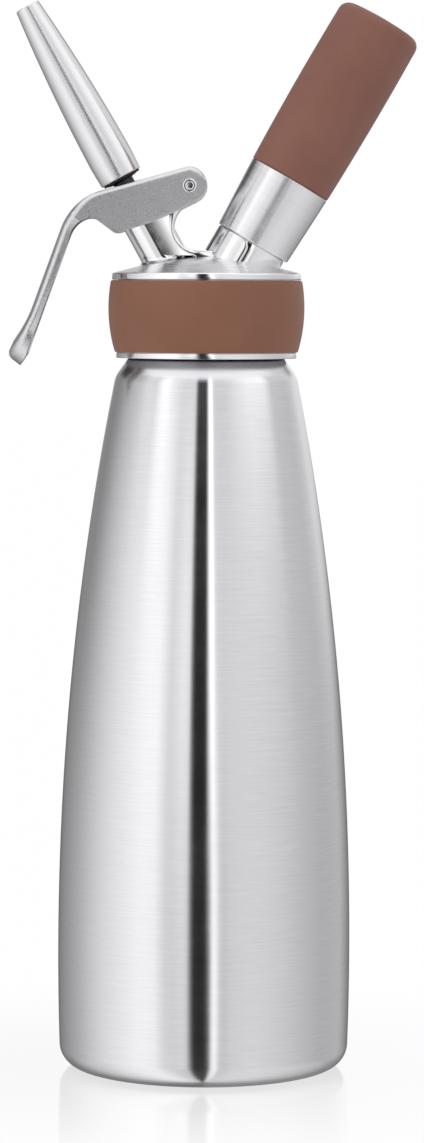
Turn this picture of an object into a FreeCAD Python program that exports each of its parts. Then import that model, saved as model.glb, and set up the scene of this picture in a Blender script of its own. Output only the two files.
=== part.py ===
import FreeCAD, Part
import math
import os

from FreeCAD import Placement, Rotation, Vector

# A one litre pressure whipper for cream, in millimetres.
# The origin is the centre of the bottle's base plane and +Z is up.
# The charger holder leans to +X, and the decorator tip and the lever's handle to -X.

# Bottle: a spun steel vessel with one long arc as its side wall
BOTTLE_RADIUS = 48.0
BOTTLE_WIDEST_HEIGHT = 40.0
BOTTLE_HEIGHT = 233.9
BOTTLE_WALL = 1.0
BASE_CORNER = 7.5
FOOT_WIDTH = 7.5
FOOT_RISE = 1.5
FOOT_SLOPE_RUN = 2.0
SHOULDER_ANGLE = 35.6
SHOULDER_CORNER = 8.5
SHOULDER_WIDTH = 3.625

# Neck ring: the threaded collar that is welded to the top of the bottle
NECK_RADIUS = 24.9
NECK_WALL = 3.4
NECK_HEIGHT = 19.1
NECK_THREAD_START = 3.1
NECK_THREAD_LENGTH = 11.0
NECK_THREAD_PITCH = 3.5
NECK_THREAD_DEPTH = 1.2
NECK_THREAD_ROOT = 1.7
NECK_THREAD_CREST = 0.6
THREAD_CLEARANCE = 0.3
THREAD_SINK = 0.3
THREAD_START_ANGLE = 70.0

# Gasket between the rim of the neck and the ceiling of the cap
GASKET_THICKNESS = 2.4
GASKET_INSIDE_NECK = 1.0
GASKET_OUTSIDE_NECK = 0.4
SEAT_GAP = 0.1

# Head cap, heights counted from the rim of the neck
CAP_WALL = 2.7
CAP_SKIRT_OVERHANG = 1.0
CAP_FLANGE_THICKNESS = 1.8
CAP_FLANGE_WIDTH = 0.6
CAP_TOP_RING_LOW = 5.65
CAP_TOP_RING_HIGH = 7.8
CAP_TOP_RING_WIDTH = 2.1
CAP_BRIM_WIDTH = 8.4
CAP_BRIM_RISE = 2.2
CAP_DOME_RISE = 3.5
CAP_RECESS_INSIDE_NECK = 2.0
CAP_SEAT_DEPTH = 1.5
CAP_SEAT_CHAMFER = 1.0
CAP_RECESS_CEILING = 7.5
BAND_BOTTOM_THICKNESS = 1.1
BAND_MIDDLE_THICKNESS = 3.25
BAND_TOP_THICKNESS = 2.45
BAND_MIDDLE_SHARE = 0.62

# Valve axis: the centre of the tip's base plane, and how far the axis leans to -X
VALVE_X = -28.26
VALVE_ABOVE_RIM = 39.2
VALVE_LEAN = 29.0

# Valve tower and what slides in it, as depths below the tip's base plane
TOWER_RADIUS = 7.5
TOWER_TOP = 12.0
TOWER_SEAT = 46.0
TOWER_WALL = 1.3
TOWER_BORE_BELOW_SEAT = 9.0
TOWER_SPRING_FLOOR = 26.0
TOWER_CHAMBER = 4.6
BUSH_RADIUS = 5.0
BUSH_BOTTOM = 38.0
BUSH_LIP = 3.0
STEM_RADIUS = 3.0
STEM_BORE = 1.8
STEM_SHOULDER = 4.6
STEM_SPIGOT = 2.4
STEM_SPIGOT_LENGTH = 6.6
STEM_BORE_END = 43.5
STEM_PORT_DEPTH = 41.5
STEM_PORT_RADIUS = 1.1
STEM_RUNNING_GAP = 0.06
RING_DEPTH = 31.5
RING_SECTION = 0.55
RING_SQUEEZE_ROOM = 0.1
SEAL_RADIUS = 5.2
SEAL_THICKNESS = 2.0
SEAL_GAP = 0.05
NUT_RADIUS = 5.6
NUT_THICKNESS = 3.0
COLLAR_INSIDE_TOWER = 0.7
COLLAR_TOP = 6.05
COLLAR_THICKNESS = 1.6

# Return spring between the collar and the floor of the tower's counterbore
SPRING_WIRE = 1.0
SPRING_SIDE_GAP = 0.5
SPRING_TURNS = 7
SPRING_END_GAP = 0.1

# Adapter, washer and decorator tip, as heights above the tip's base plane
ADAPTER_NECK = 3.45
ADAPTER_FLANGE = 6.2
ADAPTER_FLANGE_DROP = 0.5
ADAPTER_CORE = 4.9
ADAPTER_TOP = 8.6
TIP_THREAD_DEPTH = 0.6
TIP_THREAD_PITCH = 1.5
TIP_THREAD_ROOT = 0.75
TIP_THREAD_CREST = 0.25
TIP_THREAD_START = 0.9
TIP_THREAD_LENGTH = 6.6
TIP_THREAD_CLEARANCE = 0.2
WASHER_RADIUS = 6.5
WASHER_THICKNESS = 0.56
WASHER_BORE_GAP = 0.12
WASHER_SEAT_GAP = 0.04
TIP_LENGTH = 64.5
TIP_BASE_RADIUS = 7.2
TIP_BODY_RADIUS = 7.5
TIP_BODY_START = 6.0
TIP_MIDDLE_RADIUS = 6.55
TIP_END_RADIUS = 4.15
TIP_BORE_LENGTH = 20.0
TIP_OUTLET_RADIUS = 3.3
TIP_OUTLET_LENGTH = 6.0
TIP_MIDDLE_WALL = 1.5

# Pivot of the lever, and the lever's own outline: lengths along its top plane and below it
PIVOT_X = -5.6
PIVOT_ABOVE_RIM = 36.6
PIN_RADIUS = 1.6
PIN_RUNNING_GAP = 0.06
PIN_HEAD_RADIUS = 2.3
PIN_HEAD_THICKNESS = 0.7
PIN_HEAD_DIMPLE = 1.2
LEVER_SLOPE = 15.7
LEVER_SQUEEZE = 9.0
LEVER_TOP = 6.33
LEVER_SHEET = 2.0
LEVER_HALF_WIDTH = 10.1
LEVER_NOSE = 5.7
LEVER_NOSE_FLAT = -1.2
LEVER_NOSE_TOP_ANGLE = 138.35
LEVER_NOSE_TOP_SWELL = 0.36
LEVER_NOSE_SIDE_ANGLE = 211.2
LEVER_NOSE_LOW_ANGLE = 254.3
LEVER_CHEEK_LENGTH = 26.3
LEVER_CHEEK_DROP = 8.7
LEVER_CHEEK_BOW = 0.75
LEVER_CHEEK_CORNER = 3.2
LEVER_CHEEK_RAKE = 53.0
LEVER_CHEEK_RISE = 5.55
LEVER_NECK_ARC = 4.0
HANDLE_START = 28.5
HANDLE_BEND_OUTER = 20.0
HANDLE_BEND_INNER = 8.2
HANDLE_TURN = 54.5
HANDLE_RUN = 26.9
HANDLE_RUN_INNER_EXTRA = 13.6
HANDLE_FLICK_OUTER = 44.0
HANDLE_FLICK_TURN = 17.5
HANDLE_FLICK_RUN = 5.0
HANDLE_LOBE_ARC = 18.6
HANDLE_LOBE_TURN = 37.25
HANDLE_END_BULGE = 1.5
HANDLE_WAIST = 7.0
HANDLE_WAIST_PLACE = 14.0
HANDLE_WIDE = 9.0
HANDLE_WIDE_PLACE = 34.0
HANDLE_END_PLACE = 44.8
HANDLE_END_SHOULDER = 6.3
HANDLE_END_SHOULDER_PLACE = 42.0
HANDLE_FULL_WIDTH_PLACE = -6.0
HANDLE_PLAN_MARGIN = 0.06
CHEEK_HOLLOW_OVERRUN = 4.0
HANDLE_HOLLOW_END = 18.0
PAD_RADIUS = 1.6
PAD_INSIDE = 4.3
PAD_INSIDE_COLLAR = 0.5
PAD_GAP = 0.06
WEB_SLOT_HALF_WIDTH = 4.1
WEB_SLOT_RUN = 1.8
WEB_SLOT_TOP = 3.0

# Lever bracket: ears at the pivot, a curved strap, a floor on the dome and a strap round the boss
BRACKET_SIDE_GAP = 0.4
BRACKET_CURVE_X = -2.6
BRACKET_CURVE_ABOVE_RIM = 23.2
BRACKET_CURVE_RADIUS = 8.0
BRACKET_SHEET = 1.8
BRACKET_NECK_RISE = 6.86
BRACKET_NECK_HALF_WIDTH = 4.93
BRACKET_FRONT_SETBACK = 2.0
EAR_RADIUS = 5.8
EAR_TOP = 4.0

# Charger axis: the centre of the holder's lower end, and how far the axis leans to +X
CHARGER_X = 15.16
CHARGER_ABOVE_RIM = 17.8
CHARGER_LEAN = 30.0

# Boss, its threaded nipple and the gas valve in its spigot, as heights along the charger axis
BOSS_RADIUS = 11.9
BOSS_STRAP = 0.6
BOSS_STRAP_END = -1.0
BOSS_FACE_GAP = 0.15
BOSS_SPIGOT_RADIUS = 4.8
BOSS_SPIGOT_END = -16.5
NIPPLE_RADIUS = 10.3
NIPPLE_LENGTH = 12.0
GAS_THREAD_DEPTH = 0.7
GAS_THREAD_PITCH = 2.0
GAS_THREAD_ROOT = 1.0
GAS_THREAD_CREST = 0.35
GAS_CREST_CLEARANCE = 0.2
GAS_THREAD_START = 1.4
GAS_THREAD_LENGTH = 8.6
SOCKET_RADIUS = 4.9
SOCKET_FLOOR = 3.0
PIN_BASE_RADIUS = 3.0
PIN_BASE_THICKNESS = 2.0
PIERCING_RADIUS = 0.6
PIERCING_TIP = 6.1
PIERCING_POINT = 1.2
PIN_BASE_CHANNEL = 0.5
PIN_BASE_VENT = 0.45
PIN_BASE_VENT_PLACE = 1.8
GAS_CHANNEL = 1.2
CHARGER_SEAL_BORE = 2.6
CHARGER_SEAL_THICKNESS = 1.6
CHARGER_SEAL_SIDE_GAP = 0.05
CHECK_CHAMBER_RADIUS = 3.4
CHECK_SEAT = -13.0
CHECK_DISC_RADIUS = 2.9
CHECK_DISC_THICKNESS = 1.0
CHECK_DISC_GAP = 0.05
CHECK_TRAVEL = 0.6
CHECK_STOP_GAP = 0.05
CHECK_NUT_BORE = 1.0

# Gas charger: the standard 8 gram steel bulb
BULB_RADIUS = 9.0
BULB_LENGTH = 65.0
BULB_WALL = 1.1
BULB_NECK_RADIUS = 4.3
BULB_NECK_BORE = 2.5
BULB_NECK_LENGTH = 7.95
BULB_SHOULDER_LENGTH = 6.0
BULB_SEAT_GAP = 0.05
FOIL_THICKNESS = 0.4
FOIL_HOLE = 0.75

# Charger holder: a steel sleeve and the silicone grip over it
SLEEVE_RADIUS = 13.0
SLEEVE_TOP_RADIUS = 14.1
SLEEVE_VISIBLE = 24.25
SLEEVE_SHAFT_RADIUS = 11.2
SLEEVE_BORE_GAP = 0.4
SLEEVE_END_GAP = 0.1
SLEEVE_END_WALL = 4.0
SLEEVE_RELIEF = 1.2
GRIP_LOW_RADIUS = 14.15
GRIP_RADIUS = 14.75
GRIP_END_RADIUS = 14.55
GRIP_WIDEST_SHARE = 0.6
GRIP_CORNER = 3.5
GRIP_END_THICKNESS = 11.2
GRIP_END_CROWN = 0.6

# Places that follow from the sizes above
RIM = BOTTLE_HEIGHT + NECK_HEIGHT
CEILING = RIM + GASKET_THICKNESS + SEAT_GAP
SIDE_TAPER = BOTTLE_RADIUS - NECK_RADIUS - SHOULDER_WIDTH
SIDE_ARC = ((BOTTLE_HEIGHT - BOTTLE_WIDEST_HEIGHT) ** 2 + SIDE_TAPER ** 2) / (2 * SIDE_TAPER)
FOOT_INNER_RADIUS = BOTTLE_RADIUS - BASE_CORNER - FOOT_WIDTH
NECK_BORE = NECK_RADIUS - NECK_WALL
NECK_CREST = NECK_RADIUS + NECK_THREAD_DEPTH
CAP_BORE = NECK_CREST + THREAD_CLEARANCE
CAP_RADIUS = CAP_BORE + CAP_WALL
GASKET_RADIUS = NECK_RADIUS + GASKET_OUTSIDE_NECK
TOWER_SPRING_BORE = TOWER_RADIUS - TOWER_WALL
SPRING_MEAN_RADIUS = TOWER_SPRING_BORE - SPRING_SIDE_GAP - SPRING_WIRE / 2
COLLAR_RADIUS = TOWER_RADIUS - COLLAR_INSIDE_TOWER
PAD_OUTSIDE = COLLAR_RADIUS - PAD_INSIDE_COLLAR
VALVE = Placement(Vector(VALVE_X, 0, RIM + VALVE_ABOVE_RIM), Rotation(Vector(0, 1, 0), -VALVE_LEAN))
CHARGER = Placement(Vector(CHARGER_X, 0, RIM + CHARGER_ABOVE_RIM), Rotation(Vector(0, 1, 0), CHARGER_LEAN))
PIVOT = Vector(PIVOT_X, 0, RIM + PIVOT_ABOVE_RIM)
LEVER = Placement(PIVOT, Rotation(Vector(0, 1, 0), -LEVER_SLOPE) * Rotation(Vector(0, 0, 1), 180))
CHEEK_INSIDE = LEVER_HALF_WIDTH - LEVER_SHEET
EAR_HALF_WIDTH = CHEEK_INSIDE - BRACKET_SIDE_GAP
FAR = 200.0


def outline(*points):
    """A closed wire in the XZ plane. A step is a point (x, z), or an arc's middle and end points."""
    first = here = Vector(points[0][0], 0, points[0][1])
    edges = []
    for step in points[1:]:
        if isinstance(step[0], tuple):
            middle, end = [Vector(x, 0, z) for x, z in step]
            edges.append(Part.Arc(here, middle, end).toShape())
        else:
            end = Vector(step[0], 0, step[1])
            edges.append(Part.LineSegment(here, end).toShape())
        here = end
    if here.distanceToPoint(first) > 1e-6:
        edges.append(Part.LineSegment(here, first).toShape())
    return Part.Wire(edges)


def spun(*points):
    """The solid that an (r, z) outline makes when it turns about the Z axis."""
    return Part.Face(outline(*points)).revolve(Vector(), Vector(0, 0, 1), 360)


def slab(low, high, *points):
    """The solid between two values of Y whose outline is in the XZ plane."""
    face = Part.Face(outline(*points))
    face.translate(Vector(0, low, 0))
    return face.extrude(Vector(0, high - low, 0))


def rod(radius, low, high):
    """A cylinder on the Z axis."""
    return Part.makeCylinder(radius, high - low, Vector(0, 0, low))


def tube(inner, outer, low, high):
    """A ring on the Z axis."""
    return rod(outer, low, high).cut(rod(inner, low, high))


def cross_rod(radius, x, z, low, high):
    """A cylinder along Y through the point (x, z)."""
    return Part.makeCylinder(radius, high - low, Vector(x, low, z), Vector(0, 1, 0))


def placed(shape, placement):
    """A copy of a shape, moved from its own frame into the object's."""
    return shape.transformed(placement.toMatrix())


def round_rings(solid, radius, rings):
    """Round the circular edges that pass through the given (r, z) points."""
    circles = [edge for edge in solid.Edges if isinstance(edge.Curve, Part.Circle) and edge.isClosed()]
    chosen = []
    for r, z in rings:
        point = Vector(r, 0, z)
        distance = [edge.valueAt(edge.FirstParameter).distanceToPoint(point) for edge in circles]
        chosen.append(circles[distance.index(min(distance))])
    return solid.makeFillet(radius, chosen)


def ridge(root, crest, low, length, pitch, root_width, crest_width):
    """A right-hand helical thread ridge, sunk a little into the wall that carries it."""
    inward = THREAD_SINK if root < crest else -THREAD_SINK
    flank = (root_width - crest_width) / abs(crest - root)
    foot = root_width / 2 + flank * THREAD_SINK / 2
    corners = [(root - inward, foot), (crest, crest_width / 2),
               (crest, -crest_width / 2), (root - inward, -foot)]
    section = Part.makePolygon([Vector(r, 0, z) for r, z in corners + corners[:1]])
    helix = Part.makeHelix(pitch, length, root)
    solid = Part.Wire(helix.Edges).makePipeShell([section], True, True)
    solid.translate(Vector(0, 0, low))
    solid.rotate(Vector(), Vector(0, 0, 1), THREAD_START_ANGLE)
    return solid


def walk(start, heading, steps):
    """Follow straight runs and (radius, turn) arcs. Left turns are positive. Gives outline steps."""
    x, z = start
    found = []
    for step in steps:
        angle = math.radians(heading)
        if isinstance(step, tuple):
            radius, turn = step
            side = math.copysign(1, turn)
            centre = (x - side * radius * math.sin(angle), z + side * radius * math.cos(angle))
            stops = []
            for share in (0.5, 1.0):
                swung = math.radians(heading + turn * share)
                stops.append((centre[0] + side * radius * math.sin(swung),
                              centre[1] - side * radius * math.cos(swung)))
            found.append(tuple(stops))
            x, z = stops[1]
            heading += turn
        else:
            x += step * math.cos(angle)
            z += step * math.sin(angle)
            found.append((x, z))
    return found, (x, z), heading


# Bottle


def body_outline(inset):
    """The bottle's outline, moved inwards by an inset: its points, and its corner at the shoulder."""
    arc = SIDE_ARC - inset
    centre = BOTTLE_RADIUS - SIDE_ARC

    def side(z):
        return centre + math.sqrt(arc ** 2 - (z - BOTTLE_WIDEST_HEIGHT) ** 2)

    slope = math.tan(math.radians(SHOULDER_ANGLE))
    cone_shift = inset / math.cos(math.radians(SHOULDER_ANGLE))

    def cone(z):
        return NECK_RADIUS - cone_shift + (BOTTLE_HEIGHT - z) * slope

    low, high = BOTTLE_WIDEST_HEIGHT, BOTTLE_HEIGHT
    for _ in range(60):
        middle = (low + high) / 2
        if cone(middle) > side(middle):
            low = middle
        else:
            high = middle
    corner = (side(low), low)
    waist = side(BOTTLE_WIDEST_HEIGHT), BOTTLE_WIDEST_HEIGHT
    foot = FOOT_INNER_RADIUS + inset * math.tan(math.atan2(FOOT_RISE, FOOT_SLOPE_RUN) / 2)
    points = [(0, FOOT_RISE + inset), (foot - FOOT_SLOPE_RUN, FOOT_RISE + inset), (foot, inset),
              (side(inset), inset), (waist, corner), (NECK_RADIUS - cone_shift, BOTTLE_HEIGHT),
              (0, BOTTLE_HEIGHT)]
    return points, (side(inset), inset), corner


def vessel(inset):
    points, base_corner, shoulder_corner = body_outline(inset)
    solid = spun(*points)
    solid = round_rings(solid, BASE_CORNER - inset, [base_corner])
    return round_rings(solid, SHOULDER_CORNER - inset, [shoulder_corner])


def make_bottle_shell():
    inside = vessel(BOTTLE_WALL)
    mouth = rod(NECK_RADIUS - BOTTLE_WALL, BOTTLE_HEIGHT - BOTTLE_WALL, BOTTLE_HEIGHT + 1)
    return vessel(0).cut(inside).cut(mouth)


def make_neck_ring():
    ring = tube(NECK_BORE, NECK_RADIUS, BOTTLE_HEIGHT, RIM)
    thread = ridge(NECK_RADIUS, NECK_CREST, BOTTLE_HEIGHT + NECK_THREAD_START, NECK_THREAD_LENGTH,
                   NECK_THREAD_PITCH, NECK_THREAD_ROOT, NECK_THREAD_CREST)
    return ring.fuse(thread)


# Head


def make_head_gasket():
    return tube(NECK_BORE - GASKET_INSIDE_NECK, GASKET_RADIUS, RIM, RIM + GASKET_THICKNESS)


def cap_envelope(bottom):
    """The outside of the cap's top ring, brim and dome, filled down to a height."""
    edge = CAP_RADIUS + CAP_TOP_RING_WIDTH
    brim = edge - CAP_BRIM_WIDTH
    brim_top = RIM + CAP_TOP_RING_HIGH + CAP_BRIM_RISE
    dome_arc = (brim ** 2 + CAP_DOME_RISE ** 2) / (2 * CAP_DOME_RISE)
    half = brim / 2
    half_height = brim_top + CAP_DOME_RISE - dome_arc + math.sqrt(dome_arc ** 2 - half ** 2)
    return spun((0, bottom), (edge, bottom), (edge, RIM + CAP_TOP_RING_HIGH), (brim, brim_top),
                ((half, half_height), (0, brim_top + CAP_DOME_RISE)))


def make_head_cap():
    bottom = BOTTLE_HEIGHT - CAP_SKIRT_OVERHANG
    ring_low = RIM + CAP_TOP_RING_LOW
    flange_top = bottom + CAP_FLANGE_THICKNESS
    cap = cap_envelope(ring_low).fuse(rod(CAP_RADIUS, bottom, ring_low))
    cap = cap.fuse(rod(CAP_RADIUS + CAP_FLANGE_WIDTH, bottom, flange_top)).removeSplitter()
    seat = GASKET_RADIUS + SEAT_GAP
    seat_low = RIM - CAP_SEAT_DEPTH
    cap = cap.cut(spun((0, bottom - 1), (CAP_BORE, bottom - 1), (CAP_BORE, seat_low - CAP_SEAT_CHAMFER),
                       (seat, seat_low), (seat, CEILING), (0, CEILING)))
    cap = cap.cut(rod(NECK_BORE - CAP_RECESS_INSIDE_NECK, CEILING - 1, RIM + CAP_RECESS_CEILING))
    thread = ridge(CAP_BORE, NECK_RADIUS + THREAD_CLEARANCE,
                   BOTTLE_HEIGHT + NECK_THREAD_START + NECK_THREAD_PITCH / 2,
                   NECK_THREAD_LENGTH - NECK_THREAD_PITCH / 2,
                   NECK_THREAD_PITCH, NECK_THREAD_ROOT, NECK_THREAD_CREST)
    cap = cap.fuse(thread)
    cap = cap.cut(placed(rod(TOWER_RADIUS, -TOWER_SEAT - TOWER_BORE_BELOW_SEAT, -TOWER_TOP), VALVE))
    return cap.cut(placed(rod(BOSS_SPIGOT_RADIUS, BOSS_SPIGOT_END, NIPPLE_LENGTH), CHARGER))


def make_head_band():
    bottom = BOTTLE_HEIGHT - CAP_SKIRT_OVERHANG + CAP_FLANGE_THICKNESS
    top = RIM + CAP_TOP_RING_LOW
    middle = bottom + (top - bottom) * BAND_MIDDLE_SHARE
    return spun((CAP_RADIUS, bottom), (CAP_RADIUS + BAND_BOTTOM_THICKNESS, bottom),
                ((CAP_RADIUS + BAND_MIDDLE_THICKNESS, middle), (CAP_RADIUS + BAND_TOP_THICKNESS, top)),
                (CAP_RADIUS, top))


def make_valve_tower():
    tower = tube(TOWER_CHAMBER, TOWER_RADIUS, -TOWER_SEAT, -TOWER_TOP)
    tower = tower.cut(rod(BUSH_RADIUS, -BUSH_BOTTOM, -TOWER_TOP))
    tower = tower.cut(rod(TOWER_SPRING_BORE, -TOWER_SPRING_FLOOR, -TOWER_TOP))
    return placed(tower, VALVE)


def make_stem_guide_bush():
    ring_bore = STEM_RADIUS + RING_SECTION + RING_SQUEEZE_ROOM
    lip = STEM_RADIUS + STEM_RUNNING_GAP
    bush = tube(ring_bore, BUSH_RADIUS, -BUSH_BOTTOM, -TOWER_SPRING_FLOOR - BUSH_LIP)
    collar = tube(lip, BUSH_RADIUS, -TOWER_SPRING_FLOOR - BUSH_LIP, -TOWER_SPRING_FLOOR)
    return placed(bush.fuse(collar), VALVE)


def pivot_half_plane(slope):
    """What lies more than the ear's top height above the pivot, along a sloping line."""
    box = Part.makeBox(FAR, FAR, FAR, Vector(-FAR / 2, -FAR / 2, EAR_TOP))
    return placed(box, Placement(PIVOT, Rotation(Vector(0, 1, 0), -slope)))


def make_lever_bracket():
    curve_z = RIM + BRACKET_CURVE_ABOVE_RIM
    outside = BRACKET_CURVE_RADIUS + BRACKET_SHEET
    half = EAR_HALF_WIDTH
    left = BRACKET_CURVE_X - outside
    floor_top = curve_z - BRACKET_CURVE_RADIUS
    strap = cross_rod(outside, BRACKET_CURVE_X, curve_z, -half, half)
    neck = slab(-half, half, (left, curve_z), (left, curve_z + BRACKET_NECK_RISE),
                (PIVOT.x - BRACKET_NECK_HALF_WIDTH, PIVOT.z), (PIVOT.x, PIVOT.z), (PIVOT.x, curve_z))
    strap = strap.fuse(neck).cut(cross_rod(BRACKET_CURVE_RADIUS, BRACKET_CURVE_X, curve_z, -half, half))
    front = PIVOT.x + BRACKET_FRONT_SETBACK
    strap = strap.cut(slab(-half, half, (BRACKET_CURVE_X, curve_z - FAR), (FAR, curve_z - FAR),
                           (FAR, curve_z + FAR), (front, curve_z + FAR), (front, curve_z),
                           (BRACKET_CURVE_X, curve_z)))
    floor = slab(-half, half, (BRACKET_CURVE_X, RIM), (CHARGER_X, RIM), (CHARGER_X, floor_top),
                 (BRACKET_CURVE_X, floor_top))
    ear = cross_rod(EAR_RADIUS, PIVOT.x, PIVOT.z, -half, half)
    bracket = strap.fuse(floor).fuse(ear)
    for slope in (LEVER_SLOPE, LEVER_SLOPE + LEVER_SQUEEZE):
        bracket = bracket.cut(pivot_half_plane(slope))
    boss_outside = BOSS_RADIUS + BOSS_STRAP
    wrap = tube(BOSS_RADIUS, boss_outside, BOSS_SPIGOT_END, -BOSS_FACE_GAP)
    front = Part.makeBox(FAR, FAR, FAR, Vector(BOSS_STRAP_END, -FAR / 2, -FAR / 2))
    wrap = placed(wrap.cut(front), CHARGER)
    bracket = bracket.fuse(wrap)
    bracket = bracket.cut(placed(rod(BOSS_RADIUS, BOSS_SPIGOT_END, NIPPLE_LENGTH), CHARGER))
    bracket = bracket.cut(placed(rod(TOWER_RADIUS, -TOWER_SEAT, -TOWER_TOP), VALVE))
    bracket = bracket.cut(cross_rod(PIN_RADIUS, PIVOT.x, PIVOT.z, -half, half))
    return bracket.cut(cap_envelope(0)).removeSplitter()


def make_pivot_pin():
    grip = LEVER_HALF_WIDTH + PIN_RUNNING_GAP
    end = grip + PIN_HEAD_THICKNESS
    pin = cross_rod(PIN_RADIUS, 0, 0, -end, end)
    for low, high in ((-end, -grip), (grip, end)):
        pin = pin.fuse(cross_rod(PIN_HEAD_RADIUS, 0, 0, low, high))
    for low, high in ((-end, -grip), (grip, end)):
        pin = pin.cut(cross_rod(PIN_HEAD_DIMPLE, 0, 0, low, high))
    pin.translate(PIVOT)
    return pin.removeSplitter()


# Charger boss and the gas way through it


def make_charger_boss():
    boss = placed(rod(BOSS_RADIUS, BOSS_SPIGOT_END, -BOSS_FACE_GAP), CHARGER).cut(cap_envelope(0))
    nipple = rod(NIPPLE_RADIUS, -BOSS_FACE_GAP, NIPPLE_LENGTH)
    nipple = nipple.fuse(ridge(NIPPLE_RADIUS, NIPPLE_RADIUS + GAS_THREAD_DEPTH, GAS_THREAD_START,
                               GAS_THREAD_LENGTH, GAS_THREAD_PITCH, GAS_THREAD_ROOT, GAS_THREAD_CREST))
    boss = boss.fuse(placed(nipple, CHARGER))
    boss = boss.fuse(placed(rod(BOSS_SPIGOT_RADIUS, BOSS_SPIGOT_END, 0), CHARGER))
    way = rod(SOCKET_RADIUS, SOCKET_FLOOR, NIPPLE_LENGTH + 1)
    way = way.fuse(rod(PIN_BASE_RADIUS, SOCKET_FLOOR - PIN_BASE_THICKNESS, SOCKET_FLOOR))
    way = way.fuse(rod(GAS_CHANNEL, CHECK_SEAT, SOCKET_FLOOR))
    way = way.fuse(rod(CHECK_CHAMBER_RADIUS, BOSS_SPIGOT_END - 1, CHECK_SEAT))
    return boss.cut(placed(way, CHARGER))


def make_piercing_pin():
    base = rod(PIN_BASE_RADIUS, SOCKET_FLOOR - PIN_BASE_THICKNESS, SOCKET_FLOOR)
    for turn in range(3):
        angle = math.radians(120 * turn)
        place = Vector(PIN_BASE_VENT_PLACE * math.cos(angle), PIN_BASE_VENT_PLACE * math.sin(angle), 0)
        base = base.cut(Part.makeCylinder(PIN_BASE_VENT, SOCKET_FLOOR, place))
    throat = SOCKET_FLOOR - PIN_BASE_THICKNESS
    needle = spun((0, throat), (PIERCING_RADIUS, throat), (PIERCING_RADIUS, PIERCING_TIP - PIERCING_POINT),
                  (0, PIERCING_TIP))
    channel = rod(PIN_BASE_VENT_PLACE, throat, throat + PIN_BASE_CHANNEL)
    return placed(base.cut(channel).fuse(needle), CHARGER)


def make_charger_seal():
    seal = tube(CHARGER_SEAL_BORE, SOCKET_RADIUS - CHARGER_SEAL_SIDE_GAP, SOCKET_FLOOR,
                SOCKET_FLOOR + CHARGER_SEAL_THICKNESS)
    return placed(seal, CHARGER)


def make_check_valve_disc():
    top = CHECK_SEAT - CHECK_DISC_GAP
    return placed(rod(CHECK_DISC_RADIUS, top - CHECK_DISC_THICKNESS, top), CHARGER)


def make_check_valve_nut():
    top = CHECK_SEAT - CHECK_DISC_GAP - CHECK_DISC_THICKNESS - CHECK_TRAVEL - CHECK_STOP_GAP
    return placed(tube(CHECK_NUT_BORE, CHECK_CHAMBER_RADIUS, BOSS_SPIGOT_END, top), CHARGER)


# Lever


def handle_line(inset, start, end_run):
    """The lever's top line and the outside of its handle, moved inwards by an inset."""
    steps = [HANDLE_START - start[0], (HANDLE_BEND_OUTER - inset, -HANDLE_TURN), HANDLE_RUN,
             (HANDLE_FLICK_OUTER + inset, HANDLE_FLICK_TURN), end_run]
    return walk(start, 0.0, steps)


def lever_outline():
    """The lever from the side, from its nose along the top and back along the underside."""
    start = (LEVER_NOSE_FLAT, LEVER_TOP)
    top, end, _ = handle_line(0, start, HANDLE_FLICK_RUN)
    cheek_end = (LEVER_CHEEK_LENGTH, -LEVER_CHEEK_DROP)
    under, lobe, _ = walk(cheek_end, 0.0, [
        (LEVER_CHEEK_CORNER, LEVER_CHEEK_RAKE), LEVER_CHEEK_RISE, (LEVER_NECK_ARC, -LEVER_CHEEK_RAKE),
        (HANDLE_BEND_INNER, -HANDLE_TURN), HANDLE_RUN + HANDLE_RUN_INNER_EXTRA,
        (HANDLE_LOBE_ARC, HANDLE_LOBE_TURN)])
    across = Vector(end[0] - lobe[0], 0, end[1] - lobe[1])
    middle = ((end[0] + lobe[0]) / 2 + HANDLE_END_BULGE * across.z / across.Length,
              (end[1] + lobe[1]) / 2 - HANDLE_END_BULGE * across.x / across.Length)
    return start, top, (middle, lobe), under, cheek_end


def reversed_steps(start, steps):
    """The same run of outline steps, taken from its end back to its start."""
    ends = [start] + [step[1] if isinstance(step[0], tuple) else step for step in steps]
    back = []
    for number in range(len(steps) - 1, -1, -1):
        step = steps[number]
        back.append((step[0], ends[number]) if isinstance(step[0], tuple) else ends[number])
    return back


def nose_point(angle, radius):
    return radius * math.cos(math.radians(angle)), radius * math.sin(math.radians(angle))


def lever_profile(low, high):
    start, top, closing, under, cheek_end = lever_outline()
    low_nose = nose_point(LEVER_NOSE_LOW_ANGLE, LEVER_NOSE)
    top_nose = nose_point(LEVER_NOSE_TOP_ANGLE, LEVER_NOSE + LEVER_NOSE_TOP_SWELL)
    bow = ((low_nose[0] + cheek_end[0]) / 2, (low_nose[1] + cheek_end[1]) / 2 - LEVER_CHEEK_BOW)
    return slab(low, high, start, *top, closing, *reversed_steps(cheek_end, under), (bow, low_nose),
                (nose_point(LEVER_NOSE_SIDE_ANGLE, LEVER_NOSE), (-LEVER_NOSE, 0)), (top_nose, start))


def channel_hollow(half_width):
    """The space under the web and behind the handle's outer skin."""
    start = (-FAR / 3, LEVER_TOP - LEVER_SHEET)
    skin, end, heading = handle_line(LEVER_SHEET, start, HANDLE_FLICK_RUN - LEVER_SHEET)
    down = math.radians(heading - 90)
    below = (end[0] + HANDLE_HOLLOW_END * math.cos(down), end[1] + HANDLE_HOLLOW_END * math.sin(down))
    return slab(-half_width, half_width, start, *skin, below,
                (HANDLE_START, -FAR / 3), (start[0], -FAR / 3))


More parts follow.
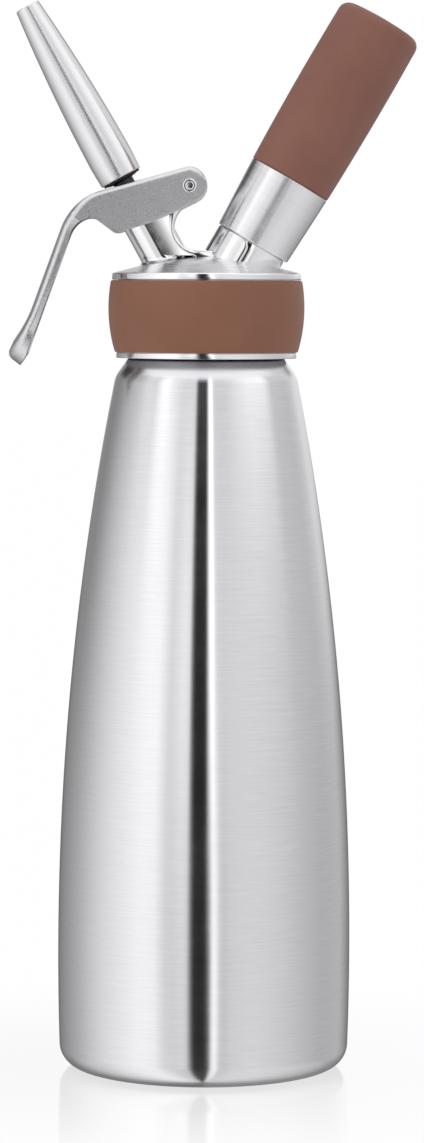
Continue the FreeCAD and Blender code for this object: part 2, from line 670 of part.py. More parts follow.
def handle_plan():
    """The lever seen square to its handle: full width at the cheeks, a waist, and a round end."""
    wide = LEVER_HALF_WIDTH + HANDLE_PLAN_MARGIN
    right = ((HANDLE_WAIST_PLACE, HANDLE_WAIST), (HANDLE_WIDE_PLACE, HANDLE_WIDE))
    left = ((HANDLE_WAIST_PLACE, -HANDLE_WAIST), (HANDLE_FULL_WIDTH_PLACE, -wide))
    plan = slab(-FAR, FAR, (-FAR / 2, wide), (HANDLE_FULL_WIDTH_PLACE, wide), right,
                ((HANDLE_END_SHOULDER_PLACE, HANDLE_END_SHOULDER), (HANDLE_END_PLACE, 0)),
                ((HANDLE_END_SHOULDER_PLACE, -HANDLE_END_SHOULDER), (HANDLE_WIDE_PLACE, -HANDLE_WIDE)),
                left, (-FAR / 2, -wide))
    line, _, _ = walk((HANDLE_START, LEVER_TOP), 0.0, [(HANDLE_BEND_OUTER, -HANDLE_TURN)])
    x, z = line[0][1]
    plan = placed(plan, Placement(Vector(), Rotation(Vector(1, 0, 0), 90)))
    return placed(plan, Placement(Vector(x, 0, z), Rotation(Vector(0, 1, 0), HANDLE_TURN)))


def make_lever():
    half = LEVER_HALF_WIDTH
    lever = lever_profile(-half, half)
    cheeks = channel_hollow(CHEEK_INSIDE)
    limit = HANDLE_START + CHEEK_HOLLOW_OVERRUN
    cheeks = cheeks.cut(Part.makeBox(FAR, FAR, FAR, Vector(limit, -FAR / 2, -FAR / 2)))
    lever = lever.common(handle_plan())
    lever = lever.cut(cheeks).cut(channel_hollow(HANDLE_WAIST - LEVER_SHEET))
    lever = placed(lever, LEVER)
    pad_depth = COLLAR_TOP - PAD_GAP - PAD_RADIUS
    for side in (-1, 1):
        near, far = sorted((side * PAD_INSIDE, side * PAD_OUTSIDE))
        lever = lever.fuse(placed(cross_rod(PAD_RADIUS, 0, -pad_depth, near, far), VALVE))
    slot = rod(WEB_SLOT_HALF_WIDTH, -COLLAR_TOP, WEB_SLOT_TOP)
    slid = slot.copy()
    slid.translate(Vector(WEB_SLOT_RUN, 0, 0))
    bridge = Part.makeBox(WEB_SLOT_RUN, 2 * WEB_SLOT_HALF_WIDTH, COLLAR_TOP + WEB_SLOT_TOP,
                          Vector(0, -WEB_SLOT_HALF_WIDTH, -COLLAR_TOP))
    lever = lever.cut(placed(slot.fuse(slid).fuse(bridge), VALVE))
    hole = cross_rod(PIN_RADIUS + PIN_RUNNING_GAP, PIVOT.x, PIVOT.z, -half - 1, half + 1)
    return lever.cut(hole).removeSplitter()


# Valve stem and what is fixed to it


def make_valve_stem():
    seat = TOWER_SEAT + SEAL_GAP
    stem = rod(STEM_RADIUS, -seat, -STEM_SHOULDER)
    stem = stem.fuse(rod(STEM_SPIGOT, -STEM_SHOULDER, STEM_SPIGOT_LENGTH - STEM_SHOULDER))
    stem = stem.fuse(rod(STEM_SPIGOT, -seat - SEAL_THICKNESS - NUT_THICKNESS, -seat))
    stem = stem.cut(rod(STEM_BORE, -STEM_BORE_END, STEM_SPIGOT_LENGTH))
    groove = tube(STEM_RADIUS - RING_SECTION, STEM_RADIUS + 1, -RING_DEPTH - RING_SECTION,
                  -RING_DEPTH + RING_SECTION)
    stem = stem.cut(groove)
    for turn in (0, 90):
        port = cross_rod(STEM_PORT_RADIUS, 0, -STEM_PORT_DEPTH, -STEM_RADIUS - 1, STEM_RADIUS + 1)
        port.rotate(Vector(), Vector(0, 0, 1), turn)
        stem = stem.cut(port)
    return placed(stem, VALVE)


def make_stem_o_ring():
    ring = Part.makeTorus(STEM_RADIUS, RING_SECTION, Vector(0, 0, -RING_DEPTH))
    return placed(ring, VALVE)


def make_stem_seal():
    top = -TOWER_SEAT - SEAL_GAP
    return placed(tube(STEM_SPIGOT, SEAL_RADIUS, top - SEAL_THICKNESS, top), VALVE)


def make_seal_nut():
    top = -TOWER_SEAT - SEAL_GAP - SEAL_THICKNESS
    corners = []
    for turn in range(7):
        angle = math.radians(60 * turn)
        corners.append(Vector(NUT_RADIUS * math.cos(angle), NUT_RADIUS * math.sin(angle), top))
    nut = Part.Face(Part.makePolygon(corners)).extrude(Vector(0, 0, -NUT_THICKNESS))
    return placed(nut.cut(rod(STEM_SPIGOT, top - NUT_THICKNESS, top)), VALVE)


def make_press_collar():
    collar = tube(STEM_RADIUS, COLLAR_RADIUS, -COLLAR_TOP - COLLAR_THICKNESS, -COLLAR_TOP)
    return placed(collar, VALVE)


def make_return_spring():
    """The spring's wire on biarcs of a quarter turn, with a straight end one wire long at each end."""
    top = -COLLAR_TOP - COLLAR_THICKNESS - SPRING_END_GAP - SPRING_WIRE
    bottom = -TOWER_SPRING_FLOOR + SPRING_END_GAP + SPRING_WIRE
    pitch = (top - bottom) / SPRING_TURNS
    climb = pitch / (2 * math.pi)

    def point(angle):
        return Vector(SPRING_MEAN_RADIUS * math.cos(angle), SPRING_MEAN_RADIUS * math.sin(angle),
                      bottom + climb * angle)

    def tangent(angle):
        return Vector(-SPRING_MEAN_RADIUS * math.sin(angle), SPRING_MEAN_RADIUS * math.cos(angle),
                      climb).normalize()

    quarter = math.pi / 2
    turns = 4 * SPRING_TURNS
    edges = [Part.LineSegment(point(0) - tangent(0) * SPRING_WIRE, point(0)).toShape()]
    for number in range(turns):
        edges += biarc(point(number * quarter), tangent(number * quarter),
                       point((number + 1) * quarter), tangent((number + 1) * quarter))
    last = point(turns * quarter)
    edges.append(Part.LineSegment(last, last + tangent(turns * quarter) * SPRING_WIRE).toShape())
    path = Part.Wire(edges)
    start = point(0) - tangent(0) * SPRING_WIRE
    section = Part.Wire(Part.makeCircle(SPRING_WIRE / 2, start, tangent(0)))
    spring = path.makePipeShell([section], True, False)
    print("return spring: least gap between turns %.2f mm" % least_gap(point, turns * quarter))
    return placed(spring, VALVE)


def biarc(start, start_way, end, end_way):
    """Two tangent arcs between two points with given directions, with equal end lengths."""
    chord = end - start
    both = start_way + end_way
    square = 2 * (1 - start_way.dot(end_way))
    part = chord.dot(both)
    reach = (-part + math.sqrt(part ** 2 + square * chord.dot(chord))) / square
    first = start + start_way * reach
    second = end - end_way * reach
    joint = (first + second) * 0.5
    return [tangent_arc(start, start_way, joint), tangent_arc(joint, (second - first).normalize(), end)]


def tangent_arc(start, way, end):
    """The arc that leaves a point in a given direction and reaches another point."""
    chord = end - start
    across = chord.cross(way).cross(way) * -1
    across.normalize()
    radius = chord.dot(chord) / (2 * abs(chord.dot(across)))
    side = math.copysign(1, chord.dot(across))
    centre = start + across * (radius * side)
    outward = (start + end) * 0.5 - centre
    outward.normalize()
    return Part.Arc(start, centre + outward * radius, end).toShape()


def least_gap(point, end):
    """The least distance between one turn of the wire and the next, less the wire."""
    steps = 720
    angles = [end * number / steps for number in range(steps + 1)]
    least = FAR
    for angle in angles:
        if angle + math.pi <= end:
            for other in (1.0, 1.5, 2.0, 2.5):
                if angle + other * math.pi <= end:
                    gap = point(angle).distanceToPoint(point(angle + other * math.pi))
                    least = min(least, gap - SPRING_WIRE)
    return least


# Adapter, washer and decorator tip


def make_tip_adapter():
    seat = -WASHER_SEAT_GAP * 2 - WASHER_THICKNESS
    adapter = spun((0, -STEM_SHOULDER), (ADAPTER_NECK, -STEM_SHOULDER),
                   (ADAPTER_NECK, seat - ADAPTER_FLANGE_DROP), (ADAPTER_FLANGE, seat), (ADAPTER_CORE, seat),
                   (ADAPTER_CORE, ADAPTER_TOP), (0, ADAPTER_TOP))
    adapter = adapter.fuse(ridge(ADAPTER_CORE, ADAPTER_CORE + TIP_THREAD_DEPTH, TIP_THREAD_START,
                                 TIP_THREAD_LENGTH, TIP_THREAD_PITCH, TIP_THREAD_ROOT, TIP_THREAD_CREST))
    adapter = adapter.cut(rod(STEM_SPIGOT, -STEM_SHOULDER, STEM_SPIGOT_LENGTH - STEM_SHOULDER))
    return placed(adapter.cut(rod(STEM_BORE, -STEM_SHOULDER, ADAPTER_TOP + 1)), VALVE)


def make_tip_washer():
    top = -WASHER_SEAT_GAP
    bore = ADAPTER_CORE + TIP_THREAD_DEPTH + WASHER_BORE_GAP
    washer = tube(bore, WASHER_RADIUS, top - WASHER_THICKNESS, top)
    return placed(washer, VALVE)


def make_decorator_tip():
    middle = (TIP_BODY_START + TIP_LENGTH) / 2
    shell = spun((0, 0), (TIP_BASE_RADIUS, 0), (TIP_BODY_RADIUS, TIP_BODY_START),
                 ((TIP_MIDDLE_RADIUS, middle), (TIP_END_RADIUS, TIP_LENGTH)), (0, TIP_LENGTH))
    bore = ADAPTER_CORE + TIP_THREAD_DEPTH + TIP_THREAD_CLEARANCE
    outlet = TIP_LENGTH - TIP_OUTLET_LENGTH
    inside = (TIP_BORE_LENGTH + outlet) / 2
    hollow = spun((0, -1), (bore, -1), (bore, TIP_BORE_LENGTH),
                  ((TIP_MIDDLE_RADIUS - TIP_MIDDLE_WALL, inside), (TIP_OUTLET_RADIUS, outlet)),
                  (TIP_OUTLET_RADIUS, TIP_LENGTH + 1), (0, TIP_LENGTH + 1))
    thread = ridge(bore, ADAPTER_CORE + TIP_THREAD_CLEARANCE, TIP_THREAD_START + TIP_THREAD_PITCH / 2,
                   TIP_THREAD_LENGTH - TIP_THREAD_PITCH, TIP_THREAD_PITCH,
                   TIP_THREAD_ROOT, TIP_THREAD_CREST)
    return placed(shell.cut(hollow).fuse(thread), VALVE)


# Charger and its holder


def make_gas_charger():
    low = SOCKET_FLOOR + CHARGER_SEAL_THICKNESS + BULB_SEAT_GAP
    neck_top = low + BULB_NECK_LENGTH
    body_low = neck_top + BULB_SHOULDER_LENGTH
    top = low + BULB_LENGTH
    body_top = top - BULB_RADIUS
    inner = BULB_RADIUS - BULB_WALL
    slant = math.sqrt(0.5)
    bulb = spun((BULB_NECK_BORE, low), (BULB_NECK_RADIUS, low), (BULB_NECK_RADIUS, neck_top),
                (BULB_RADIUS, body_low), (BULB_RADIUS, body_top),
                ((BULB_RADIUS * slant, body_top + BULB_RADIUS * slant), (0, top)),
                (0, top - BULB_WALL), ((inner * slant, body_top + inner * slant), (inner, body_top)),
                (inner, body_low + BULB_WALL / 2), (BULB_NECK_BORE, neck_top + BULB_WALL / 2))
    return placed(bulb, CHARGER)


def make_charger_foil():
    low = SOCKET_FLOOR + CHARGER_SEAL_THICKNESS + BULB_SEAT_GAP
    return placed(tube(FOIL_HOLE, BULB_NECK_BORE, low, low + FOIL_THICKNESS), CHARGER)


def sleeve_end():
    return SOCKET_FLOOR + CHARGER_SEAL_THICKNESS + BULB_SEAT_GAP + BULB_LENGTH + SLEEVE_END_GAP


def make_charger_sleeve():
    end = sleeve_end() + SLEEVE_END_WALL
    thread_bore = NIPPLE_RADIUS + GAS_THREAD_DEPTH + THREAD_CLEARANCE
    bulb_bore = BULB_RADIUS + SLEEVE_BORE_GAP
    relief = NIPPLE_LENGTH + SLEEVE_RELIEF
    body = spun((0, 0), (SLEEVE_RADIUS, 0), (SLEEVE_TOP_RADIUS, SLEEVE_VISIBLE),
                (SLEEVE_SHAFT_RADIUS, SLEEVE_VISIBLE), (SLEEVE_SHAFT_RADIUS, end), (0, end))
    body = body.cut(spun((0, -1), (thread_bore, -1), (thread_bore, relief),
                         (bulb_bore, relief + thread_bore - bulb_bore), (bulb_bore, sleeve_end()),
                         (0, sleeve_end())))
    thread = ridge(thread_bore, NIPPLE_RADIUS + GAS_CREST_CLEARANCE,
                   GAS_THREAD_START + GAS_THREAD_PITCH / 2, GAS_THREAD_LENGTH,
                   GAS_THREAD_PITCH, GAS_THREAD_ROOT, GAS_THREAD_CREST)
    return placed(body.fuse(thread), CHARGER)


def make_holder_grip():
    low = SLEEVE_VISIBLE
    inner_end = sleeve_end() + SLEEVE_END_WALL
    end = inner_end + GRIP_END_THICKNESS
    side_top = end - GRIP_CORNER
    slant = GRIP_CORNER * math.sqrt(0.5)
    corner_centre = GRIP_END_RADIUS - GRIP_CORNER
    half = corner_centre / 2
    crown_arc = (corner_centre ** 2 + GRIP_END_CROWN ** 2) / (2 * GRIP_END_CROWN)
    half_height = end + GRIP_END_CROWN - crown_arc + math.sqrt(crown_arc ** 2 - half ** 2)
    grip = spun((SLEEVE_SHAFT_RADIUS, low), (GRIP_LOW_RADIUS, low),
                ((GRIP_RADIUS, low + GRIP_WIDEST_SHARE * (side_top - low)), (GRIP_END_RADIUS, side_top)),
                ((corner_centre + slant, side_top + slant), (corner_centre, end)),
                ((half, half_height), (0, end + GRIP_END_CROWN)),
                (0, inner_end), (SLEEVE_SHAFT_RADIUS, inner_end))
    return placed(grip, CHARGER)


PIECES = {
    "bottle_shell": make_bottle_shell,
    "neck_ring": make_neck_ring,
    "head_gasket": make_head_gasket,
    "head_cap": make_head_cap,
    "head_band": make_head_band,
    "valve_tower": make_valve_tower,
    "stem_guide_bush": make_stem_guide_bush,
    "lever_bracket": make_lever_bracket,
    "pivot_pin": make_pivot_pin,
    "charger_boss": make_charger_boss,
    "piercing_pin": make_piercing_pin,
    "charger_seal": make_charger_seal,
    "check_valve_disc": make_check_valve_disc,
    "check_valve_nut": make_check_valve_nut,
    "lever": make_lever,
    "valve_stem": make_valve_stem,
    "stem_o_ring": make_stem_o_ring,
    "stem_seal": make_stem_seal,
    "seal_nut": make_seal_nut,
    "press_collar": make_press_collar,
    "return_spring": make_return_spring,
    "tip_adapter": make_tip_adapter,
    "tip_washer": make_tip_washer,
    "decorator_tip": make_decorator_tip,
    "gas_charger": make_gas_charger,
    "charger_foil": make_charger_foil,
    "charger_sleeve": make_charger_sleeve,
    "holder_grip": make_holder_grip,
}

os.makedirs("parts", exist_ok=True)
for name, make in PIECES.items():
    piece = make()
    piece.exportStep("parts/" + name + ".step")
    print("%-18s solids %d valid %s volume %.1f" % (name, len(piece.Solids), piece.isValid(), piece.Volume))
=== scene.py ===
import math

import bmesh
import bpy
import numpy as np
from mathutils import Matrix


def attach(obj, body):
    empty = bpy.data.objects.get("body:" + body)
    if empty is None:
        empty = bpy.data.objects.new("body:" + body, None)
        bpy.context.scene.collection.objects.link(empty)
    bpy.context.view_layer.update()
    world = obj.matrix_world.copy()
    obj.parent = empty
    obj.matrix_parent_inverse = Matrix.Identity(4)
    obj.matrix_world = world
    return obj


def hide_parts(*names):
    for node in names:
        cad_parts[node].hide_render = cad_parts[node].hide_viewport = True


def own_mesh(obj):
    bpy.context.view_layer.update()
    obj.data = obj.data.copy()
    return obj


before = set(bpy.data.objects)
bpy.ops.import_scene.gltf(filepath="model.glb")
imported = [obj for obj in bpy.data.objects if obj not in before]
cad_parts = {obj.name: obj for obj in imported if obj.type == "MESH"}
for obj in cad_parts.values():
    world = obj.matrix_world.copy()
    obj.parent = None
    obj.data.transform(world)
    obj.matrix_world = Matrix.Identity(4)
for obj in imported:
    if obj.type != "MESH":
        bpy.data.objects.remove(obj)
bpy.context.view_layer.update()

# Lengths are in millimetres and angles in degrees, and a mesh is brought to metres when it is made.
MM = 0.001

# Bottle
BOTTLE_RADIUS = 48.0
BOTTLE_WIDEST_HEIGHT = 40.0
SIDE_ARC = 975.0
BOTTLE_HEIGHT = 233.9
BOTTLE_WALL = 1.0
BASE_CORNER = 7.5
FOOT_INNER_RADIUS = 33.0
FOOT_RISE = 1.5
SHOULDER_ANGLE = 35.6
SHOULDER_CORNER = 8.5
NECK_RADIUS = 24.9
NECK_BORE = 21.5
RIM = 253.0

# Head
CAP_BORE = 26.4
CAP_RADIUS = 29.1
CAP_LOW = 232.9
FLANGE_TOP = 234.7
FLANGE_RADIUS = 29.7
RING_LOW = 258.65
RING_TOP = 260.8
RING_RADIUS = 31.2
BRIM_RADIUS = 22.8
BRIM_TOP = 263.0
DOME_TOP = 266.5
CEILING = 255.5
SEAT_RADIUS = 25.4
RECESS_RADIUS = 19.5
RECESS_TOP = 260.5

# Slanted axes, each from its origin (x, z): the valve leans to -X and the charger to +X
VALVE_ORIGIN = (-28.26, 292.2)
VALVE_LEAN = -29.0
CHARGER_ORIGIN = (15.16, 270.8)
CHARGER_LEAN = 30.0
PIVOT = (-5.6, 289.6)
LEVER_SLOPE = 15.7
STRAP_CENTRE = (-2.6, RIM + 23.2)

# Valve, with heights along its slanted axis
TOWER_RADIUS = 7.5
TOWER_BORE = 4.6
TOWER_TOP = -12.0
TOWER_LOW = -46.0
TOWER_HOLE = 7.45
SPRING_ROOM = 6.2
SPRING_FLOOR = -26.0
BUSH_ROOM = 5.0
BUSH_FLOOR = -38.0
TIP_BASE_RADIUS = 7.5
TIP_END_RADIUS = 4.15
TIP_LENGTH = 64.5
TIP_BORE = 5.7
TIP_MOUTH = 3.3
ADAPTER_CORE = 4.9
ADAPTER_BORE = 1.8
ADAPTER_TOP = 8.6
ADAPTER_NECK = 3.45
ADAPTER_FLANGE = 6.2
WASHER_BORE = 5.62
WASHER_RADIUS = 6.5

# Charger side, with heights along its slanted axis
BOSS_FOOT_RADIUS = 11.9
BOSS_CORE = 10.3
BOSS_TOP = 12.0
BOSS_BORE = 4.9
BOSS_HOLE = 4.75
SLEEVE_LOW_RADIUS = 13.0
SLEEVE_TOP_RADIUS = 14.1
SLEEVE_TOP = 24.25
SLEEVE_MOUTH = 11.3
SLEEVE_CORE = 11.2
SLEEVE_BORE = 9.4
SLEEVE_END = 73.75
GRIP_LOW = 24.37
GRIP_TOP = 84.95
GRIP_CROWN = 0.6

# Lever, in its own frame from the pin. A pair is an arc's radius and turn
NOSE_RADIUS = 5.7
LEVER_TOP = 6.33
CHEEK_RUN = 28.5
CHEEK_HALF = 10.1
CHEEK_FOOT = (26.3, -8.7)
BEND = (20.0, -54.5)
HANDLE_STEPS = [26.9, (44.0, 17.5), 5.0]
UNDERSIDE_STEPS = [(3.2, 53.0), 5.55, (4.0, -53.0), (8.2, -54.5), 40.5, (18.6, 37.25)]
SHEET = 1.7
PIN_HOLE = 1.66
STEM_HOLE = 4.1

ROUND_STEPS = 160
FLARE_STEPS = 128
WELD = 2e-6
SHARP_ANGLE = 32.0
THREAD_SINK = 0.15


# Shapes as whole arrays


def rounded(corners):
    """A polyline through (x, z, radius) corners, each corner cut by the arc that is tangent to both sides.
    The arc starts at radius * tan(turn / 2) from the corner and has a point about every six degrees."""
    points = np.array([c[:2] for c in corners], float)
    found = [points[:1]]
    for number in range(1, len(corners) - 1):
        here, radius = points[number], corners[number][2]
        back, ahead = points[number - 1] - here, points[number + 1] - here
        back, ahead = back / np.linalg.norm(back), ahead / np.linalg.norm(ahead)
        turn = math.pi - math.acos(np.clip(back @ ahead, -1, 1))
        if radius <= 0 or turn < 1e-4:
            found.append(here[None])
            continue
        reach = radius * math.tan(turn / 2)
        centre = here + (back + ahead) / np.linalg.norm(back + ahead) * radius / math.cos(turn / 2)
        first, last = here + back * reach - centre, here + ahead * reach - centre
        share = np.linspace(0, 1, max(4, int(math.degrees(turn) / 6)) + 1)[:, None]
        swing = first * np.sin((1 - share) * turn) + last * np.sin(share * turn)
        found.append(centre + swing / math.sin(turn))
    found.append(points[-1:])
    return np.concatenate(found)


def rounded_ring(corners):
    """A closed outline with its corners rounded. It starts in the middle of its last side."""
    start = tuple((a + b) / 2 for a, b in zip(corners[-1][:2], corners[0][:2])) + (0,)
    return rounded([start, *corners, start])[:-1]


def as_corners(points):
    """Points as corners that stay sharp."""
    return [(float(a), float(b), 0) for a, b in points]


def arc_through(start, middle, end, count):
    """Points on the circle through three points: centre + (start - centre) e^(it), t from 0 to the turn."""
    a, b, c = (complex(*point) for point in (start, middle, end))
    w = (c - a) / (b - a)
    centre = a + (b - a) * (w - abs(w) ** 2) / (2j * w.imag)
    halfway, turn = (np.angle((k - centre) / (a - centre)) % (2 * math.pi) for k in (b, c))
    if halfway > turn:
        turn -= 2 * math.pi
    points = centre + (a - centre) * np.exp(1j * turn * np.linspace(0, 1, count))
    return np.stack([points.real, points.imag], 1)


def lean(points, origin, angle):
    """Points moved from a slanted axis's own frame: x' = x cos a + z sin a, z' = z cos a - x sin a,
    and then by the origin."""
    c, s = math.cos(math.radians(angle)), math.sin(math.radians(angle))
    x, y, z = points[..., 0], points[..., 1], points[..., 2]
    return np.stack([origin[0] + x * c + z * s, y, origin[1] + z * c - x * s], -1)


def on_valve(points):
    return lean(points, VALVE_ORIGIN, VALVE_LEAN)


def on_charger(points):
    return lean(points, CHARGER_ORIGIN, CHARGER_LEAN)


def upright(points):
    return points


def spin(profile, steps=ROUND_STEPS):
    """The grid that a profile makes round its axis: (r cos t, r sin t, z), t from 0 to a full turn."""
    t = np.linspace(0, 2 * math.pi, steps, endpoint=False)
    r, z = profile[:, 0][:, None], profile[:, 1][:, None]
    return np.stack([r * np.cos(t), r * np.sin(t), z + 0 * t], -1)


def quads(rows, columns, wrap_rows, wrap_columns, first=0):
    """Four corner numbers for each cell of a grid whose rows and columns may close on themselves."""
    i = np.arange(rows if wrap_rows else rows - 1)[:, None]
    j = np.arange(columns if wrap_columns else columns - 1)[None]
    i2, j2 = (i + 1) % rows, (j + 1) % columns
    cells = np.stack([i * columns + j, i2 * columns + j, i2 * columns + j2, i * columns + j2], -1)
    return cells.reshape(-1, 4) + first


def capped(rows, columns):
    """The cells of a tube's grid, and one many-sided cell over each of its ends."""
    cells = quads(rows, columns, False, True).tolist()
    return cells + [list(range(columns))[::-1], list(range((rows - 1) * columns, rows * columns))]


def new_object(name, data):
    made = bpy.data.objects.new(name, data)
    bpy.context.scene.collection.objects.link(made)
    return made


def clean_mesh(name, points, faces):
    """A mesh from points in millimetres, with doubled points joined and its faces turned outwards."""
    mesh = bpy.data.meshes.new(name)
    mesh.from_pydata(points * MM, [], faces)
    work = bmesh.new()
    work.from_mesh(mesh)
    bmesh.ops.remove_doubles(work, verts=work.verts, dist=WELD)
    bmesh.ops.recalc_face_normals(work, faces=work.faces)
    work.to_mesh(mesh)
    work.free()
    mesh.validate()
    return mesh


def build(name, parts, body, finish, stands_for, sharp=SHARP_ANGLE):
    """One object from (points, faces) parts in millimetres. It rides on a body and stands for CAD nodes."""
    faces, first = [], 0
    for points, cells in parts:
        faces += [tuple(int(k) + first for k in cell) for cell in cells]
        first += points.reshape(-1, 3).shape[0]
    piece = new_object(name, clean_mesh(name, np.concatenate([p.reshape(-1, 3) for p, _ in parts]), faces))
    smooth(piece, sharp)
    piece.data.materials.append(finish)
    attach(piece, body)
    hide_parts(*stands_for)
    return piece


def smooth(piece, sharp):
    piece.data.polygons.foreach_set("use_smooth", [True] * len(piece.data.polygons))
    piece.data.set_sharp_from_angle(angle=math.radians(sharp))


def apply_modifiers(piece):
    """Puts what the modifiers make into the mesh itself."""
    bpy.context.view_layer.update()
    graph = bpy.context.evaluated_depsgraph_get()
    made = bpy.data.meshes.new_from_object(piece.evaluated_get(graph))
    piece.modifiers.clear()
    piece.data = made


def bored(piece, cutters, sharp=SHARP_ANGLE):
    """Cuts closed (points, faces) shapes out of a piece."""
    for points, cells in cutters:
        cutter = new_object("cutter", clean_mesh("cutter", points.reshape(-1, 3), cells))
        cut = piece.modifiers.new("cut", "BOOLEAN")
        cut.operation, cut.solver, cut.object = "DIFFERENCE", "EXACT", cutter
        apply_modifiers(piece)
        bpy.data.objects.remove(cutter)
    smooth(piece, sharp)


def turned(profile, place=upright, steps=ROUND_STEPS, closed=True):
    """A spun part: the profile round its axis, placed. A closed profile's last point joins its first."""
    profile = np.asarray(profile, float)
    return place(spin(profile, steps)), quads(len(profile), steps, closed, True)


def plug(radius, low, high, place, steps=64):
    """A plain closed cylinder, for cutting with."""
    return place(spin(np.array([[radius, low], [radius, high]]), steps)), capped(2, steps)


def wound_ridge(root, crest, low, length, pitch, root_width, crest_width):
    """A thread: (r cos t, r sin t, low + pitch t / turn + z) for the four corners (r, z) of its section.
    Over the first and last eighth of a turn the crest sinks to the root."""
    turns = length / pitch
    t = np.linspace(0, turns, int(turns * 64))
    ends = np.clip(np.minimum(t, turns - t) * 8, 0, 1)
    high = root + (crest - root) * ends
    foot = 0 * t + root - THREAD_SINK
    r = np.stack([foot, high, high, foot], 1)
    z = np.array([root_width, crest_width, -crest_width, -root_width]) / 2 + (low + t * pitch)[:, None]
    a = (2 * math.pi * t)[:, None]
    return np.stack([r * np.cos(a), r * np.sin(a), z], -1), quads(len(t), 4, False, True)


def plate(outline, low, high, edge, place, rings=4):
    """A flat plate: the (x, z) outline carried along y, with its rims rounded.
    Ring k is moved in by edge * (1 - sin t) and lies edge * (1 - cos t) from the face, t up to a quarter turn."""
    ahead, behind = np.roll(outline, -1, 0), np.roll(outline, 1, 0)
    way = ahead - behind
    way /= np.linalg.norm(way, axis=1)[:, None]
    area = np.sum(outline[:, 0] * ahead[:, 1] - ahead[:, 0] * outline[:, 1])
    inward = np.stack([-way[:, 1], way[:, 0]], 1) * np.sign(area)
    t = np.linspace(0, math.pi / 2, rings + 1)
    inset = np.concatenate([edge * (1 - np.sin(t)), edge * (1 - np.sin(t[::-1]))])
    y = np.concatenate([low + edge * (1 - np.cos(t)), high - edge * (1 - np.cos(t[::-1]))])
    flat = outline[None] + inward[None] * inset[:, None, None]
    grid = np.stack([flat[..., 0], np.broadcast_to(y[:, None], flat.shape[:2]), flat[..., 1]], -1)
    return place(grid), capped(len(y), len(outline))


# Finishes


NOISE_LOW, NOISE_HIGH = 0.3, 0.7
CLOUD_GLOSS = (-0.01, 0.015)


def fill(tree, node, sockets):
    """Gives a node's input sockets their values, or links them to other nodes' outputs."""
    for key, value in sockets.items():
        if isinstance(value, bpy.types.NodeSocket):
            tree.links.new(value, node.inputs[key])
        else:
            node.inputs[key].default_value = value


def nodes_of(tree, kind, sockets=None, **settings):
    node = tree.nodes.new(kind)
    for key, value in settings.items():
        setattr(node, key, value)
    fill(tree, node, sockets or {})
    return node


def out_of(tree, kind, sockets=None, **settings):
    """The first output of a new node."""
    return nodes_of(tree, kind, sockets, **settings).outputs[0]


def mask_group(name, fine_detail, cloud_scale, cloud_detail):
    """Two masks from 0 to 1: a fine noise, scaled across and along an axis into brushed rings or an even grain,
    and soft broad clouds."""
    tree = bpy.data.node_groups.new(name, "ShaderNodeTree")
    for label, kind in (("Across", "Float"), ("Along", "Float"), ("Turn", "Vector"), ("Place", "Vector")):
        tree.interface.new_socket(label, in_out="INPUT", socket_type="NodeSocket" + kind)
    for label in ("Fine", "Cloud"):
        tree.interface.new_socket(label, in_out="OUTPUT", socket_type="NodeSocketFloat")
    given, out = tree.nodes.new("NodeGroupInput"), tree.nodes.new("NodeGroupOutput")
    at = nodes_of(tree, "ShaderNodeTexCoord").outputs["Object"]
    centre = out_of(tree, "ShaderNodeVectorMath", {0: at, 1: given.outputs["Place"]}, operation="SUBTRACT")
    turn = out_of(tree, "ShaderNodeVectorRotate", {"Vector": centre, "Rotation": given.outputs["Turn"]},
                  rotation_type="EULER_XYZ")
    across, along = given.outputs["Across"], given.outputs["Along"]
    scale = out_of(tree, "ShaderNodeCombineXYZ", {"X": across, "Y": across, "Z": along})
    stretch = out_of(tree, "ShaderNodeVectorMath", {0: turn, 1: scale}, operation="MULTIPLY")
    fine = {"Vector": stretch, "Scale": 1.0, "Detail": fine_detail}
    cloud = {"Vector": at, "Scale": cloud_scale, "Detail": cloud_detail}
    fill(tree, out, {"Fine": out_of(tree, "ShaderNodeTexNoise", fine),
                     "Cloud": out_of(tree, "ShaderNodeTexNoise", cloud)})
    return tree


STREAKS = mask_group("brushed streaks", 3.0, 55.0, 4.0)
GRAIN = mask_group("moulded grain", 4.0, 60.0, 3.0)
GRAIN_SCALE = 2500.0


def linear(colour):
    """An sRGB colour of 0 to 255 as the linear values that a socket takes."""
    c = np.array(colour, float) / 255
    return tuple(np.where(c <= 0.04045, c / 12.92, ((c + 0.055) / 1.055) ** 2.4)) + (1.0,)


def spread(tree, source, low, high):
    """A value in the range that noise mostly gives, spread between two others."""
    return out_of(tree, "ShaderNodeMapRange", {"Value": source, "From Min": NOISE_LOW, "From Max": NOISE_HIGH,
                                               "To Min": low, "To Max": high})


def mix_of(tree, factor, first, second):
    """One colour that goes from the first to the second as the factor goes from 0 to 1."""
    node = nodes_of(tree, "ShaderNodeMix", {"Factor": factor}, data_type="RGBA")
    ends = [number for number, socket in enumerate(node.inputs) if socket.type == "RGBA"]
    fill(tree, node, dict(zip(ends, (first, second))))
    return [socket for socket in node.outputs if socket.type == "RGBA"][0]


def new_finish(name):
    """A new material, its node tree and its Principled shader."""
    finish = bpy.data.materials.new(name)
    finish.use_nodes = True
    return finish, finish.node_tree, finish.node_tree.nodes["Principled BSDF"]


def bump(tree, source, depth):
    return out_of(tree, "ShaderNodeBump", {"Strength": 1.0, "Distance": depth * MM, "Height": source})


